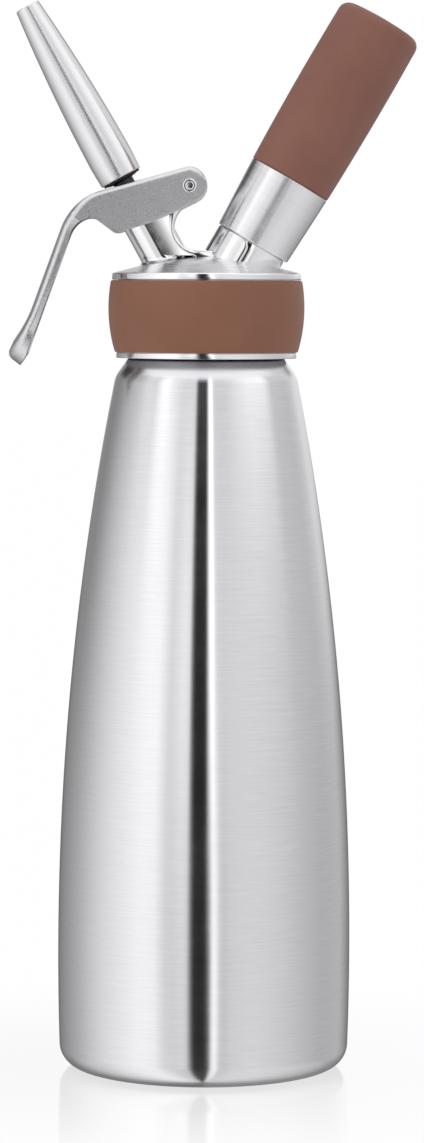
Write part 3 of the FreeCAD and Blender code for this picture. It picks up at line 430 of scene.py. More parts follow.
def metal(name, pale, dark, smoothest, roughest, depth, across=40.0, along=9000.0, turn=0.0, place=(0, 0), smear=0.0):
    """A steel finish: streaks run round an axis that leans by an angle, and change colour, gloss and height.
    A smear above 0 draws reflections out along that axis, as turning marks do."""
    finish, tree, shader = new_finish(name)
    tilt = math.radians(turn)
    if smear > 0:
        axis = out_of(tree, "ShaderNodeCombineXYZ", {"X": math.sin(tilt), "Z": math.cos(tilt)})
        fill(tree, shader, {"Anisotropic": smear, "Tangent": axis})
    lines = nodes_of(tree, "ShaderNodeGroup", node_tree=STREAKS)
    fill(tree, lines, {"Across": across, "Along": along, "Turn": (0, -tilt, 0),
                       "Place": (place[0] * MM, 0, place[1] * MM)})
    streaks, cloud = lines.outputs["Fine"], lines.outputs["Cloud"]
    gloss = {0: spread(tree, streaks, smoothest, roughest), 1: spread(tree, cloud, *CLOUD_GLOSS)}
    fill(tree, shader, {
        "Metallic": 1.0, "Base Color": mix_of(tree, spread(tree, streaks, 0, 1), linear(dark), linear(pale)),
        "Roughness": out_of(tree, "ShaderNodeMath", gloss, operation="ADD"), "Normal": bump(tree, streaks, depth)})
    return finish


def moulded(name, pale, dark, smoothest, roughest, depth, sheen=0.0, level=0.5):
    """A rubber or plastic finish, with a fine grain in colour, gloss and height."""
    finish, tree, shader = new_finish(name)
    mask = nodes_of(tree, "ShaderNodeGroup", node_tree=GRAIN)
    fill(tree, mask, {"Across": GRAIN_SCALE, "Along": GRAIN_SCALE})
    grain, cloud = mask.outputs["Fine"], mask.outputs["Cloud"]
    both = {0: spread(tree, grain, 0, 0.5), 1: spread(tree, cloud, 0, 0.5)}
    mixed = out_of(tree, "ShaderNodeMath", both, operation="ADD")
    fill(tree, shader, {
        "Specular IOR Level": level, "Sheen Weight": sheen, "Normal": bump(tree, grain, depth),
        "Base Color": mix_of(tree, mixed, linear(dark), linear(pale)),
        "Roughness": spread(tree, grain, smoothest, roughest)})
    return finish


ON_VALVE = {"turn": VALVE_LEAN, "place": VALVE_ORIGIN}
ON_CHARGER = {"turn": CHARGER_LEAN, "place": CHARGER_ORIGIN}
bottle_steel = metal("bottle steel", (232, 232, 234), (223, 223, 226), 0.14, 0.18, 0.0004, across=90.0, along=6000.0,
                     smear=1.0)
head_steel = metal("head ring steel", (248, 248, 250), (240, 240, 243), 0.09, 0.13, 0.0003)
dome_steel = metal("turned dome steel", (246, 246, 248), (236, 236, 239), 0.25, 0.31, 0.0004)
# Steel for the head's inside and down-facing faces: its darker colour is painted shade under the flange, and its
# higher roughness is the finish.
painted_shade_steel = metal("rough inside of the head darkened as painted shade", (176, 176, 178), (156, 156, 159), 0.35, 0.45, 0.0004)
valve_steel = metal("polished tower steel", (242, 242, 243), (236, 236, 238), 0.05, 0.09, 0.0003, **ON_VALVE)
tip_steel = metal("turned tip steel", (234, 234, 236), (224, 224, 226), 0.2, 0.27, 0.0005, smear=1.0, **ON_VALVE)
boss_steel = metal("polished boss steel", (242, 242, 243), (234, 234, 236), 0.06, 0.1, 0.0003, **ON_CHARGER)
sleeve_steel = metal("turned sleeve steel", (238, 238, 240), (226, 226, 229), 0.2, 0.27, 0.0005, smear=1.0,
                     **ON_CHARGER)
bracket_steel = metal("polished bracket steel", (242, 242, 243), (234, 234, 236), 0.1, 0.15, 0.0002,
                      across=300.0, along=300.0)
lever_steel = metal("satin lever steel", (226, 226, 228), (204, 204, 207), 0.27, 0.33, 0.0002,
                    across=1700.0, along=1700.0)
spring_steel = metal("spring steel", (176, 176, 180), (150, 150, 156), 0.2, 0.32, 0.001, across=600.0, along=600.0)
plated_steel = metal("plated charger steel", (206, 208, 212), (190, 192, 198), 0.12, 0.2, 0.0005, **ON_CHARGER)
foil_metal = metal("charger foil", (226, 214, 190), (206, 192, 166), 0.22, 0.34, 0.002, across=700.0, along=700.0)
band_silicone = moulded("brown band silicone", (123, 83, 65), (113, 75, 58), 0.5, 0.6, 0.006, sheen=0.06, level=0.25)
grip_silicone = moulded("brown grip silicone", (120, 81, 70), (110, 73, 63), 0.5, 0.6, 0.006, sheen=0.06, level=0.25)
black_rubber = moulded("black rubber", (34, 34, 36), (22, 22, 24), 0.5, 0.62, 0.006)
grey_rubber = moulded("grey rubber", (120, 122, 124), (98, 100, 103), 0.5, 0.62, 0.006)
# The adapter under the tip's base is drawn near-black all over.
black_adapter_finish = moulded("black adapter finish", (30, 30, 32), (20, 20, 22), 0.28, 0.4, 0.004)
white_plastic = moulded("white plastic", (232, 232, 228), (222, 222, 218), 0.3, 0.42, 0.004)


# Bottle


def bottle_skin(inset):
    """The bottle's outline from its axis to its neck, moved in by an inset. The side is one arc:
    r = R - A + sqrt((A - inset)^2 - (z - widest)^2), and the shoulder is a cone down from the neck."""
    slope = math.tan(math.radians(SHOULDER_ANGLE))
    shift = inset / math.cos(math.radians(SHOULDER_ANGLE))

    def side(z):
        return BOTTLE_RADIUS - SIDE_ARC + np.sqrt((SIDE_ARC - inset) ** 2 - (z - BOTTLE_WIDEST_HEIGHT) ** 2)

    heights = np.linspace(inset, BOTTLE_HEIGHT, 4000)
    cone = NECK_RADIUS - shift + (BOTTLE_HEIGHT - heights) * slope
    meet = heights[np.argmax(cone <= side(heights))]
    foot = FOOT_INNER_RADIUS + inset / 3
    low = [(0, FOOT_RISE + inset, 0), (foot - 2, FOOT_RISE + inset, 2), (foot, inset, 2),
           (float(side(inset)), inset, BASE_CORNER - inset)]
    middle = [(float(side(z)), float(z), 0) for z in np.linspace(14, meet - 12, 40)]
    high = [(float(side(meet)), float(meet), SHOULDER_CORNER - inset), (NECK_RADIUS - shift, BOTTLE_HEIGHT, 0)]
    return rounded(low + middle + high)


def make_bottle():
    outside, inside = bottle_skin(0), bottle_skin(BOTTLE_WALL)
    profile = np.concatenate([outside, inside[::-1]])
    build("bottle", [turned(profile, closed=False)], "bottle", bottle_steel, ["bottle_shell"])


# Head


def dome_height(x, y):
    """The dome's height over a point: the top of a sphere through the apex and the brim."""
    radius = (BRIM_RADIUS ** 2 + (DOME_TOP - BRIM_TOP) ** 2) / (2 * (DOME_TOP - BRIM_TOP))
    return DOME_TOP - radius + np.sqrt(radius ** 2 - np.minimum(x ** 2 + y ** 2, BRIM_RADIUS ** 2))


def make_cap():
    """The head's section from the dome's top, round the brim, ring and flange, and up the inside to its ceiling."""
    dome = [(float(a), float(dome_height(a, 0)), 0) for a in np.linspace(0, BRIM_RADIUS - 2, 30)]
    corners = dome + [(BRIM_RADIUS, BRIM_TOP, 4), (RING_RADIUS, RING_TOP, 0.55), (RING_RADIUS, RING_LOW, 0.4),
                      (CAP_RADIUS, RING_LOW, 0), (CAP_RADIUS, FLANGE_TOP, 0), (FLANGE_RADIUS, FLANGE_TOP, 0.2),
                      (FLANGE_RADIUS, CAP_LOW, 0.25), (CAP_BORE, CAP_LOW, 0.4), (CAP_BORE, RIM - 2.5, 0.5),
                      (SEAT_RADIUS, RIM - 1.5, 0.5), (SEAT_RADIUS, CEILING, 0), (RECESS_RADIUS, CEILING, 0.5),
                      (RECESS_RADIUS, RECESS_TOP, 1), (0, RECESS_TOP, 0)]
    cap = build("cap", [turned(rounded(corners), closed=False)], "head", head_steel, ["head_cap"])
    bored(cap, [plug(TOWER_HOLE, -60, TOWER_TOP, on_valve), plug(BOSS_HOLE, -30, BOSS_TOP, on_charger)])
    finish_by_place(cap, [dome_steel, painted_shade_steel])


def finish_by_place(cap, finishes):
    """The cap's further finishes: the first on the dome, and the second, steel darkened as painted shade, where the
    cap looks inwards or down.
    """
    for finish in finishes:
        cap.data.materials.append(finish)
    centre = np.array([face.center for face in cap.data.polygons]) / MM
    normal = np.array([face.normal for face in cap.data.polygons])
    radius = np.hypot(centre[:, 0], centre[:, 1])
    outward = (centre[:, :2] * normal[:, :2]).sum(1)
    # Faces that look inwards or down take the steel darkened as painted shade.
    inside = ((radius < CAP_RADIUS - 0.3) & ((outward < 0) | (centre[:, 2] < RING_LOW))) | (normal[:, 2] < -0.7)
    dome = (centre[:, 2] > RING_TOP + 0.05) & (normal[:, 2] > 0.3)
    index = np.where(dome, 1, np.where(inside, 2, 0))
    cap.data.polygons.foreach_set("material_index", index.astype(np.int32))


def make_band():
    """The band's section: a bulging outer side that is widest a little over its middle."""
    gap, foot, widest, brow = 0.12, 30.2, 32.35, 31.55
    low, high = FLANGE_TOP + gap, RING_LOW - gap
    side = arc_through((foot, low), (widest, low + 0.62 * (high - low)), (brow, high), 48)
    corners = [(CAP_RADIUS, low, 0), (foot, low, 0.45), *as_corners(side[4:-4]), (brow, high, 0.8),
               (CAP_RADIUS, high, 0)]
    build("band", [turned(rounded(corners))], "head", band_silicone, ["head_band"])


def ring_section(inner, outer, low, high, inner_corner, outer_corner):
    """The section of a flat ring, as a closed outline."""
    return rounded_ring([(inner, low, inner_corner), (outer, low, outer_corner), (outer, high, outer_corner),
                         (inner, high, inner_corner)])


def make_gasket():
    profile = ring_section(NECK_BORE - 1, NECK_RADIUS + 0.4, RIM, RIM + 2.4, 0.5, 0.5)
    build("gasket_ring", [turned(profile)], "gasket", grey_rubber, ["head_gasket"])


# Valve


def make_tower():
    """The tower's section: a wall with room for the spring above and the bush below, and a weld at its foot."""
    profile = rounded_ring([
        (TOWER_BORE, TOWER_LOW, 0.2), (TOWER_RADIUS, TOWER_LOW, 0.3), (TOWER_RADIUS, TOWER_TOP, 0.45),
        (SPRING_ROOM, TOWER_TOP, 0.35), (SPRING_ROOM, SPRING_FLOOR, 0), (BUSH_ROOM, SPRING_FLOOR, 0),
        (BUSH_ROOM, BUSH_FLOOR, 0), (TOWER_BORE, BUSH_FLOOR, 0)])
    flare = foot_flare(TOWER_RADIUS, on_valve, 1.6, 2.0)
    build("tower", [turned(profile, on_valve), flare], "head", valve_steel, ["valve_tower"])


def on_dome(ring, place, sunk=0.0):
    """A ring of points slid along its slanted axis until it lies on the dome, or sunk under it. Twelve steps do it."""
    ring = ring.copy()
    for _ in range(12):
        here = place(ring)
        ring[:, 2] += dome_height(here[:, 0], here[:, 1]) - sunk - here[:, 2]
    return ring


def foot_flare(radius, place, up, out):
    """The weld at a post's foot: for each angle, the curve (1-k)^2 a + 2k(1-k) b + k^2 c from a on the post,
    past b where the post meets the dome, to c on the dome."""
    ring = on_dome(spin(np.array([[radius, SPRING_FLOOR + 1]]), FLARE_STEPS)[0], place)
    b = place(ring)
    a = place(ring + np.array([0, 0, up]))
    away = b[:, :2] - b[:, :2].mean(0)
    away /= np.linalg.norm(away, axis=1)[:, None]
    c = b.copy()
    c[:, :2] += away * out
    c[:, 2] = dome_height(c[:, 0], c[:, 1]) - 0.03
    k = np.linspace(0, 1, 10)[:, None, None]
    inner = b - (b - b.mean(0)) * 0.12 - np.array([0, 0, 0.8])
    grid = np.concatenate([(1 - k) ** 2 * a + 2 * k * (1 - k) * b + k ** 2 * c, inner[None]])
    return grid, quads(len(grid), FLARE_STEPS, True, True)


def make_spring():
    """The spring: a wire along (r cos t, r sin t, z), where z rises by one pitch a turn, closed at both ends."""
    low, high, turns, wire, radius, sides = -24.9, -8.75, 7, 0.5, 5.2, 10
    t = np.linspace(0, turns, turns * 40 + 1)
    z = low + (high - low) * t / turns
    a = 2 * math.pi * t
    path = np.stack([radius * np.cos(a), radius * np.sin(a), z], 1)
    way = np.stack([-radius * np.sin(a), radius * np.cos(a), 0 * a + (high - low) / (2 * math.pi * turns)], 1)
    way /= np.linalg.norm(way, axis=1)[:, None]
    level = np.cross([0.0, 0.0, 1.0], way)
    level /= np.linalg.norm(level, axis=1)[:, None]
    round_wire = spin(np.array([[wire, 0.0]]), sides)[0]
    tube = path[:, None] + round_wire[:, :1] * level[:, None] + round_wire[:, 1:2] * np.cross(way, level)[:, None]
    ends = [np.broadcast_to(path[k] + way[k] * reach, (1, sides, 3)) for k, reach in ((0, -0.3), (-1, 0.3))]
    grid = np.concatenate([ends[0], tube, ends[1]])
    spring = build("spring", [(on_valve(grid), quads(len(grid), sides, False, True))], "head", spring_steel,
                   ["return_spring"], sharp=60.0)
    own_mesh(spring)


def make_seals():
    """The ring round the stem, and the flat seals of the valve, the charger's neck and the gas valve."""
    build("stem_ring", [turned(spin(np.array([[0.55, 0.0]]), 24)[0, :, :2] + np.array([3.0, -31.5]), on_valve, 64)],
          "head", black_rubber, ["stem_o_ring"])
    build("valve_seal", [turned(ring_section(2.4, 5.2, -48.05, -46.05, 0, 0.4), on_valve, 96)], "stem", grey_rubber,
          ["stem_seal"])
    build("neck_seal", [turned(ring_section(2.6, 4.85, 3.0, 4.6, 0.3, 0.3), on_charger, 96)], "head", grey_rubber,
          ["charger_seal"])
    disc = rounded([(0, -14.05, 0), (2.9, -14.05, 0.3), (2.9, -13.05, 0.3), (0, -13.05, 0)])
    build("gas_valve_disc", [turned(disc, on_charger, 64, False)], "check_valve", grey_rubber,
          ["check_valve_disc"])


# Decorator tip


def make_tip():
    """The tip's section: a wall that tapers along two arcs, from the base's round corner to the mouth."""
    side = arc_through((TIP_BASE_RADIUS, 6.0), (6.55, 35.25), (TIP_END_RADIUS, TIP_LENGTH), 60)
    bore = arc_through((TIP_BORE, 20.0), (5.05, 39.25), (TIP_MOUTH, 58.5), 20)
    profile = rounded_ring([
        (TIP_BORE, 0, 0.4), (7.2, 0, 0.5), *as_corners(side[1:-1]), (TIP_END_RADIUS, TIP_LENGTH, 0.35),
        (TIP_MOUTH, TIP_LENGTH, 0.3), *as_corners(bore[::-1])])
    build("tip", [turned(profile, on_valve)], "tip", tip_steel, ["decorator_tip"])


def make_adapter():
    """The adapter's section, with the thread that carries the tip, and the washer that lies on its flange."""
    profile = rounded_ring([
        (ADAPTER_BORE, -4.6, 0), (ADAPTER_NECK, -4.6, 0.15), (ADAPTER_NECK, -1.14, 0.3), (ADAPTER_FLANGE, -0.64, 0.1),
        (ADAPTER_CORE, -0.64, 0), (ADAPTER_CORE, ADAPTER_TOP, 0.4), (ADAPTER_BORE, ADAPTER_TOP, 0.3)])
    ridge, cells = wound_ridge(ADAPTER_CORE, 5.5, 0.9, 6.6, 1.5, 0.75, 0.25)
    build("adapter", [turned(profile, on_valve, 96), (on_valve(ridge), cells)], "stem", black_adapter_finish,
          ["tip_adapter"])
    section = ring_section(WASHER_BORE, WASHER_RADIUS, -0.6, -0.04, 0, 0.2)
    build("washer", [turned(section, on_valve, 96)], "washer", black_rubber, ["tip_washer"])


# Charger side


def make_boss():
    """The boss's skin, from its bore's inner end out under the dome, up the foot and the core, and down the bore."""
    foot = on_dome(spin(np.array([[BOSS_FOOT_RADIUS, -8.0]]))[0], on_charger, 1.0)
    top = spin(rounded([
        (BOSS_FOOT_RADIUS, -3, 0), (BOSS_FOOT_RADIUS, -0.15, 0.3), (BOSS_CORE, -0.15, 0), (BOSS_CORE, BOSS_TOP, 0.6),
        (BOSS_BORE, BOSS_TOP, 0.4), (BOSS_BORE, 3, 0), (0.7, 3, 0)]))
    inside = spin(np.array([[1.2, 3], [1.2, -13], [3.4, -13], [3.4, -16.5], [4.8, -16.5], [4.8, -8]]))
    low = foot * np.array([0.6, 0.6, 1.0]) - np.array([0, 0, 1.0])
    shell = np.concatenate([inside, low[None], foot[None], top])
    ridge, cells = wound_ridge(BOSS_CORE, 11.0, 1.4, 8.6, 2.0, 1.0, 0.35)
    build("boss", [(on_charger(shell), quads(len(shell), ROUND_STEPS, False, True)), (on_charger(ridge), cells)],
          "head", boss_steel, ["charger_boss"])


def make_sleeve():
    """The sleeve's section: the outside that shows, the core inside the grip, and the charger's room."""
    profile = rounded_ring([
        (SLEEVE_MOUTH, 0, 0.5), (SLEEVE_LOW_RADIUS, 0, 0.6), (SLEEVE_TOP_RADIUS, SLEEVE_TOP, 0.3),
        (SLEEVE_CORE, SLEEVE_TOP, 0), (SLEEVE_CORE, SLEEVE_END, 1), (0, SLEEVE_END, 0), (0, SLEEVE_END - 4, 0),
        (SLEEVE_BORE, SLEEVE_END - 4, 0), (SLEEVE_BORE, 15.1, 0), (SLEEVE_MOUTH, 13.2, 0)])
    build("sleeve", [turned(profile, on_charger)], "holder", sleeve_steel, ["charger_sleeve"])


def make_grip():
    """The grip's section: a side on a slight arc, a round corner and a crown of h (1 - k^2) over its end."""
    low_radius, widest, top_radius, crown_radius = 14.15, 14.75, 14.55, 11.0
    side = arc_through((low_radius, GRIP_LOW), (widest, 58.57), (top_radius, 81.45), 60)
    crown = [(crown_radius * float(k), GRIP_TOP + GRIP_CROWN * (1 - float(k) ** 2), 0)
             for k in np.linspace(1, 0, 16)[1:]]
    corners = [(SLEEVE_CORE, GRIP_LOW, 0), (low_radius, GRIP_LOW, 0.5), *as_corners(side[1:-1]),
               (top_radius, GRIP_TOP, 3.5), (crown_radius, GRIP_TOP, 0), *crown, (0, SLEEVE_END, 0),
               (SLEEVE_CORE, SLEEVE_END, 0)]
    build("grip", [turned(rounded(corners), on_charger)], "holder", grip_silicone, ["holder_grip"])


# Lever bracket


# The strap round the boss ends in front, with one round corner
WRAP_RADIUS = 12.5
WRAP_INNER = 11.7
WRAP_END = 0.44
WRAP_END_CORNER = 3.0


def side_web(side):
    """The plate between the tower and the strap: each level runs from a line along the tower to the strap's arc,
    x = cx - sqrt(r^2 - (z - cz)^2), and its face falls back by 0.003 d^2 at a distance d from the tower."""
    (cx, cz), r = STRAP_CENTRE, 9.5
    z = np.linspace(cz - r + 0.02, 284.0, 40)[:, None]
    slope = math.tan(math.radians(VALVE_LEAN))
    left = VALVE_ORIGIN[0] - 0.3 / math.cos(math.radians(VALVE_LEAN)) + (z - VALVE_ORIGIN[1]) * slope
    right = cx - np.sqrt(r ** 2 - (z - cz) ** 2)
    right = np.maximum(right, left + 0.4)
    k = np.linspace(0, 1, 14)[None]
    x = left + (right - left) * k
    face = 7.6 - 0.003 * (x - left) ** 2
    x, y = np.concatenate([x, x[:, ::-1]], 1), np.concatenate([face, 0 * face + 6.9], 1)
    return np.stack([x, side * y, np.broadcast_to(z, x.shape)], -1), capped(*x.shape)


def around(centre, radius, angles):
    """Points on a circle, at angles in degrees."""
    a = np.radians(angles)
    return np.stack([centre[0] + radius * np.cos(a), centre[1] + radius * np.sin(a)], 1)


def strap():
    """The strap's outline: an outer arc up the left, the ear's round top, cut flat where the lever's top passes
    over it at rest and squeezed, and the inner arc back to the floor."""
    cx, cz = STRAP_CENTRE
    outer, inner, half, ear, flat = 9.8, 8.0, 7.7, 5.8, 4.0
    px, pz = PIVOT
    crown = around((0, 0), ear, np.linspace(172, -18, 40))
    for tilt in (LEVER_SLOPE, LEVER_SLOPE + 9):
        n = np.array([-math.sin(math.radians(tilt)), math.cos(math.radians(tilt))])
        crown -= np.maximum(crown @ n - flat, 0)[:, None] * n
    outline = np.concatenate([
        around(STRAP_CENTRE, outer, np.linspace(262, 180, 30)),
        [(cx - outer, cz + 6.86), (px - 4.93, pz - 0.6)],
        crown + np.array(PIVOT),
        [(px + 2.0, pz - 5.2), (px + 2.0, cz + 8.2)],
        around(STRAP_CENTRE, inner, np.linspace(97.2, 270, 60)),
        [(8.0, cz - inner), (8.0, DOME_TOP - 1.6), (cx - 2, DOME_TOP - 1.6)]])
    return plate(outline, -half, half, 0.8, upright, 6)


def wrap():
    """The strap's end round the boss: for each level its radius, and an angle from one end to the other.
    Its ends are a round lip, and a corner's arc takes them back near the top."""
    rise = np.array([-9.6, -8.0, -6.4, -5.0, -3.8, -3.2, -2.7, -2.2, -1.8, -1.4, -1.1, -0.85, -0.65, -0.5, -0.4, -0.3,
                     -0.2, -0.15, -0.15, -0.3, -0.8, -1.8, -3.2, -9.6])
    r = np.array([WRAP_RADIUS] * 13 + [12.46, 12.42, 12.3, 12.15, 12.0, 11.8] + [WRAP_INNER] * 5)
    corner = np.clip(rise + 0.4 + WRAP_END_CORNER, 0, WRAP_END_CORNER)
    end_q = WRAP_END + WRAP_END_CORNER - np.sqrt(WRAP_END_CORNER ** 2 - corner ** 2)
    reach = np.arccos(end_q / WRAP_RADIUS)[:, None]
    lip = (WRAP_RADIUS - 11.75) / WRAP_RADIUS
    b = np.linspace(0, math.pi / 2, 8)
    share = np.linspace(-1, 1, 60)[None, 1:-1]
    t = np.concatenate([-(reach - lip + lip * np.sin(b[::-1])), share * (reach - lip),
                        reach - lip + lip * np.sin(b)], 1)
    drop = np.concatenate([1 - np.cos(b[::-1]), 0 * share[0], 1 - np.cos(b)]) * lip * WRAP_RADIUS
    out = np.maximum(r[:, None] - drop, WRAP_INNER)
    grid = np.stack([-out * np.cos(t), -out * np.sin(t), rise[:, None] + 0 * t], -1)
    rows, columns = t.shape
    first = np.arange(rows) * columns
    return on_charger(grid), [*quads(rows, columns, True, False), first, (first + columns - 1)[::-1]]


def make_bracket():
    webs = [side_web(side) for side in (-1, 1)]
    build("bracket", [strap(), *webs, wrap()], "head", bracket_steel, ["lever_bracket"])


def across_pin(points):
    """Points moved from the pin's own frame, whose axis is along y."""
    return np.stack([PIVOT[0] + points[..., 0], points[..., 2], PIVOT[1] + points[..., 1]], -1)


def make_pin():
    """The rivet's section: a hollow shank with a rolled rim at both ends."""
    head = rounded([(0, 10.35, 0), (1.15, 10.35, 0.15), (1.3, 10.86, 0.2), (2.3, 10.86, 0.45), (2.3, 10.14, 0.1),
                    (1.6, 10.14, 0)])
    profile = np.concatenate([head, head[::-1] * np.array([1, -1])])
    build("rivet", [turned(profile, across_pin, 64, False)], "head", bracket_steel, ["pivot_pin"])


# Lever


def trace(start, heading, steps, pitch=0.5):
    """Points, headings and lengths along straight runs and (radius, turn) arcs, about one pitch apart."""
    points, headings = [np.array([complex(*start)])], [np.array([heading])]
    for step in steps:
        at, way = points[-1][-1], np.exp(1j * math.radians(headings[-1][-1]))
        if isinstance(step, tuple):
            radius, turn = step
            share = np.linspace(0, 1, max(4, int(math.radians(abs(turn)) * radius / pitch)) + 1)[1:]
            reach = 1j * way * math.copysign(radius, turn)
            points.append(at + reach - reach * np.exp(1j * math.radians(turn) * share))
        else:
            turn, share = 0.0, np.linspace(0, 1, max(1, int(step / pitch)) + 1)[1:]
            points.append(at + way * step * share)
        headings.append(headings[-1][-1] + turn * share)
    line = np.concatenate(points)
    lengths = np.concatenate([[0], np.cumsum(np.abs(np.diff(line)))])
    return np.stack([line.real, line.imag], 1), np.concatenate(headings), lengths


def in_lever(points):
    """Points from the lever's own frame, whose x runs along its top towards the handle."""
    return lean(points * np.array([-1, 1, 1]), PIVOT, -LEVER_SLOPE)


def lever_sides():
    """The lever from the side: the line along its top, with headings and lengths, and at each point its depth,
    to where a square line meets the underside, and how far the nose's round top lies under it."""
    nose, top = NOSE_RADIUS, LEVER_TOP
    spine, heading, length = trace((-nose, top), 0.0, [CHEEK_RUN + nose, BEND, *HANDLE_STEPS], 0.25)
    pin = (0, 0)
    low_nose = tuple(around(pin, nose, [254.3])[0])
    first = arc_through((-nose, 0), tuple(around(pin, nose, [211.2])[0]), low_nose, 40)
    sag = 0.75
    bow_middle = ((low_nose[0] + CHEEK_FOOT[0]) / 2, (low_nose[1] + CHEEK_FOOT[1]) / 2 - sag)
    bow = arc_through(low_nose, bow_middle, CHEEK_FOOT, 60)
    rest, _, _ = trace(CHEEK_FOOT, 0.0, UNDERSIDE_STEPS)
    end, lobe = spine[-1], rest[-1]
    across = (end - lobe) / np.linalg.norm(end - lobe)
    middle = (end + lobe) / 2 + 1.5 * np.array([across[1], -across[0]])
    closing = arc_through(tuple(lobe), tuple(middle), tuple(end), 30)
    under = np.concatenate([first, bow[1:], rest[1:], closing[1:-1]])
    nose_top = arc_through((-nose, 0), tuple(around(pin, 6.06, [138.35])[0]), (-1.2, top), 60)

    h = np.radians(heading)
    inward = np.stack([np.sin(h), -np.cos(h)], 1)
    inward, edge, delta = inward[:, None], (under[1:] - under[:-1])[None], under[:-1][None] - spine[:, None]

    def cross(p, q):
        return p[..., 0] * q[..., 1] - p[..., 1] * q[..., 0]
    across = cross(inward, edge)
    across = np.where(np.abs(across) < 1e-12, 1e-12, across)
    depth, share = cross(delta, edge) / across, cross(delta, inward) / across
    hit = (share >= -1e-6) & (share <= 1 + 1e-6) & (depth > 0.3)
    depth = np.where(hit, depth, np.inf).min(1)
    found = np.isfinite(depth)
    depth = np.interp(length, length[found], depth[found])
    drop = np.interp(spine[:, 0], nose_top[:, 0], top - nose_top[:, 1], right=0.0)
    return spine, h, length, depth, np.where(length > 6, 0.0, drop)


def lever_plan(spine, length):
    """The lever's outline from above, as lengths along its top and half widths: full width at the cheeks,
    a waist along the handle, and a round end."""
    nose = NOSE_RADIUS
    bend_end = np.argmax(length >= CHEEK_RUN + nose - math.radians(BEND[1]) * BEND[0])
    run = np.array([math.cos(math.radians(BEND[1])), math.sin(math.radians(BEND[1]))])
    place = (spine - spine[bend_end]) @ run
    tail = slice(int(np.argmax(length > CHEEK_RUN + nose)), None)
    waist = arc_through((-6, CHEEK_HALF), (14, 7.0), (34, 9.0), 90)
    end = arc_through((34, 9.0), (42, 6.3), (44.8, 0), 70)
    plan = np.concatenate([waist, end[1:]])
    along = np.interp(plan[:, 0], place[tail], length[tail])
    along = np.where(plan[:, 0] > place[-1], length[-1] + plan[:, 0] - place[-1], along)
    start = nose * (1 - np.cos(np.linspace(0, math.pi / 2, 24)))
    straight = np.concatenate([start, np.linspace(nose, along[0], 110)[1:-1]])
    return np.concatenate([straight, along]), np.concatenate([0 * straight + CHEEK_HALF, plan[:, 1]])


def make_lever():
    """Each half is a grid: rows up the side wall, round the top's edge, and in over the crowned top to the middle.
    A wall of the sheet's thickness then makes it solid."""
    spine, h, length, depth, drop = lever_sides()
    s, w = lever_plan(spine, length)
    way_s, way_w = np.gradient(s), np.gradient(w)
    size = np.hypot(way_s, way_w)
    at_nose = s < NOSE_RADIUS + 2
    in_s, in_w = np.where(at_nose, 0, way_w / size), np.where(at_nose, -1, -way_s / size)
    bottom, ceiling = np.interp(np.minimum(s, length[-1]), length, depth), np.interp(s, length, drop)
    grow = np.clip((s - 38) / 14, 0, 1)
    grow = grow * grow * (3 - 2 * grow)
    corner = np.minimum(1.9 + 0.9 * grow, (bottom - ceiling) * 0.46)
    crown = 0.15 + 0.55 * grow

    rows = [(s, w, bottom + (ceiling + corner + crown - bottom) * k) for k in np.linspace(0, 1, 9)]
    for a in np.linspace(0, math.pi / 2, 9)[1:]:
        inset = corner * (1 - math.cos(a))
        rows.append((s + in_s * inset, w + in_w * inset, ceiling + crown + corner * (1 - math.sin(a))))
    side_rows = len(rows)
    edge_s, edge_w, _ = rows[-1]
    hold = s[-1] - 12
    centre_s = np.where(edge_s > hold, hold + (edge_s - hold) * 0.55, edge_s)
    for f in np.linspace(0, 1, 11)[1:]:
        rows.append((edge_s + (centre_s - edge_s) * f, edge_w * (1 - f), ceiling + crown * (1 - f) ** 2))
    gs, gw, gd = np.array(rows).transpose(1, 0, 2)
    beyond = np.maximum(gs - length[-1], 0)
    hs = np.interp(gs, length, h)
    x = np.interp(gs, length, spine[:, 0]) + beyond * math.cos(h[-1]) + gd * np.sin(hs)
    z = np.interp(gs, length, spine[:, 1]) + beyond * math.sin(h[-1]) - gd * np.cos(hs)
    half = np.stack([x, np.maximum(gw, 0), z], -1)
    cells = quads(*gs.shape, False, False)
    row, column = np.divmod(cells[:, 0], gs.shape[1])
    open_front = (row >= side_rows) & (s[column] < 4.4)
    cells = cells[~open_front]
    other = half * np.array([1, -1, 1])
    lever = build("lever", [(in_lever(half), cells), (in_lever(other), cells[:, ::-1])], "lever", lever_steel,
                  ["lever"], sharp=40.0)
    wall = lever.modifiers.new("wall", "SOLIDIFY")
    wall.thickness, wall.offset, wall.use_rim, wall.use_even_offset = SHEET * MM, -1.0, True, False
    apply_modifiers(lever)

    # The stem's hole is a slot: its half towards the pin is moved, so that the lever can turn round the stem
    drill, cells = plug(STEM_HOLE, -6.05, 3.0, upright, 48)
    c, sn = math.cos(math.radians(VALVE_LEAN)), math.sin(math.radians(VALVE_LEAN))
    slot = on_valve(drill) + np.where(drill[..., :1] > 0, 1.8, 0.0) * np.array([c, 0, -sn])
    bored(lever, [(slot, cells), plug(PIN_HOLE, -14, 14, across_pin, 48)], sharp=40.0)
    rim = lever.modifiers.new("rim", "BEVEL")
    rim.width, rim.segments, rim.limit_method, rim.angle_limit = 0.35 * MM, 2, "ANGLE", math.radians(50)
    rim.use_clamp_overlap = True
    apply_modifiers(lever)
    smooth(lever, 40.0)


# CAD nodes that stay: inner fittings, each with its own finish


def refinish():
    finishes = {
        "neck_ring": head_steel, "valve_stem": valve_steel, "seal_nut": valve_steel, "press_collar": white_plastic,
        "stem_guide_bush": white_plastic, "piercing_pin": spring_steel, "check_valve_nut": boss_steel,
        "gas_charger": plated_steel, "charger_foil": foil_metal,
    }
    for node, finish in finishes.items():
        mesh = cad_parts[node].data
        mesh.materials.clear()
        mesh.materials.append(finish)


for make in (make_bottle, make_cap, make_band, make_gasket, make_tower, make_spring, make_seals, make_tip,
             make_adapter, make_boss, make_sleeve, make_grip, make_bracket, make_pin, make_lever, refinish):
    make()


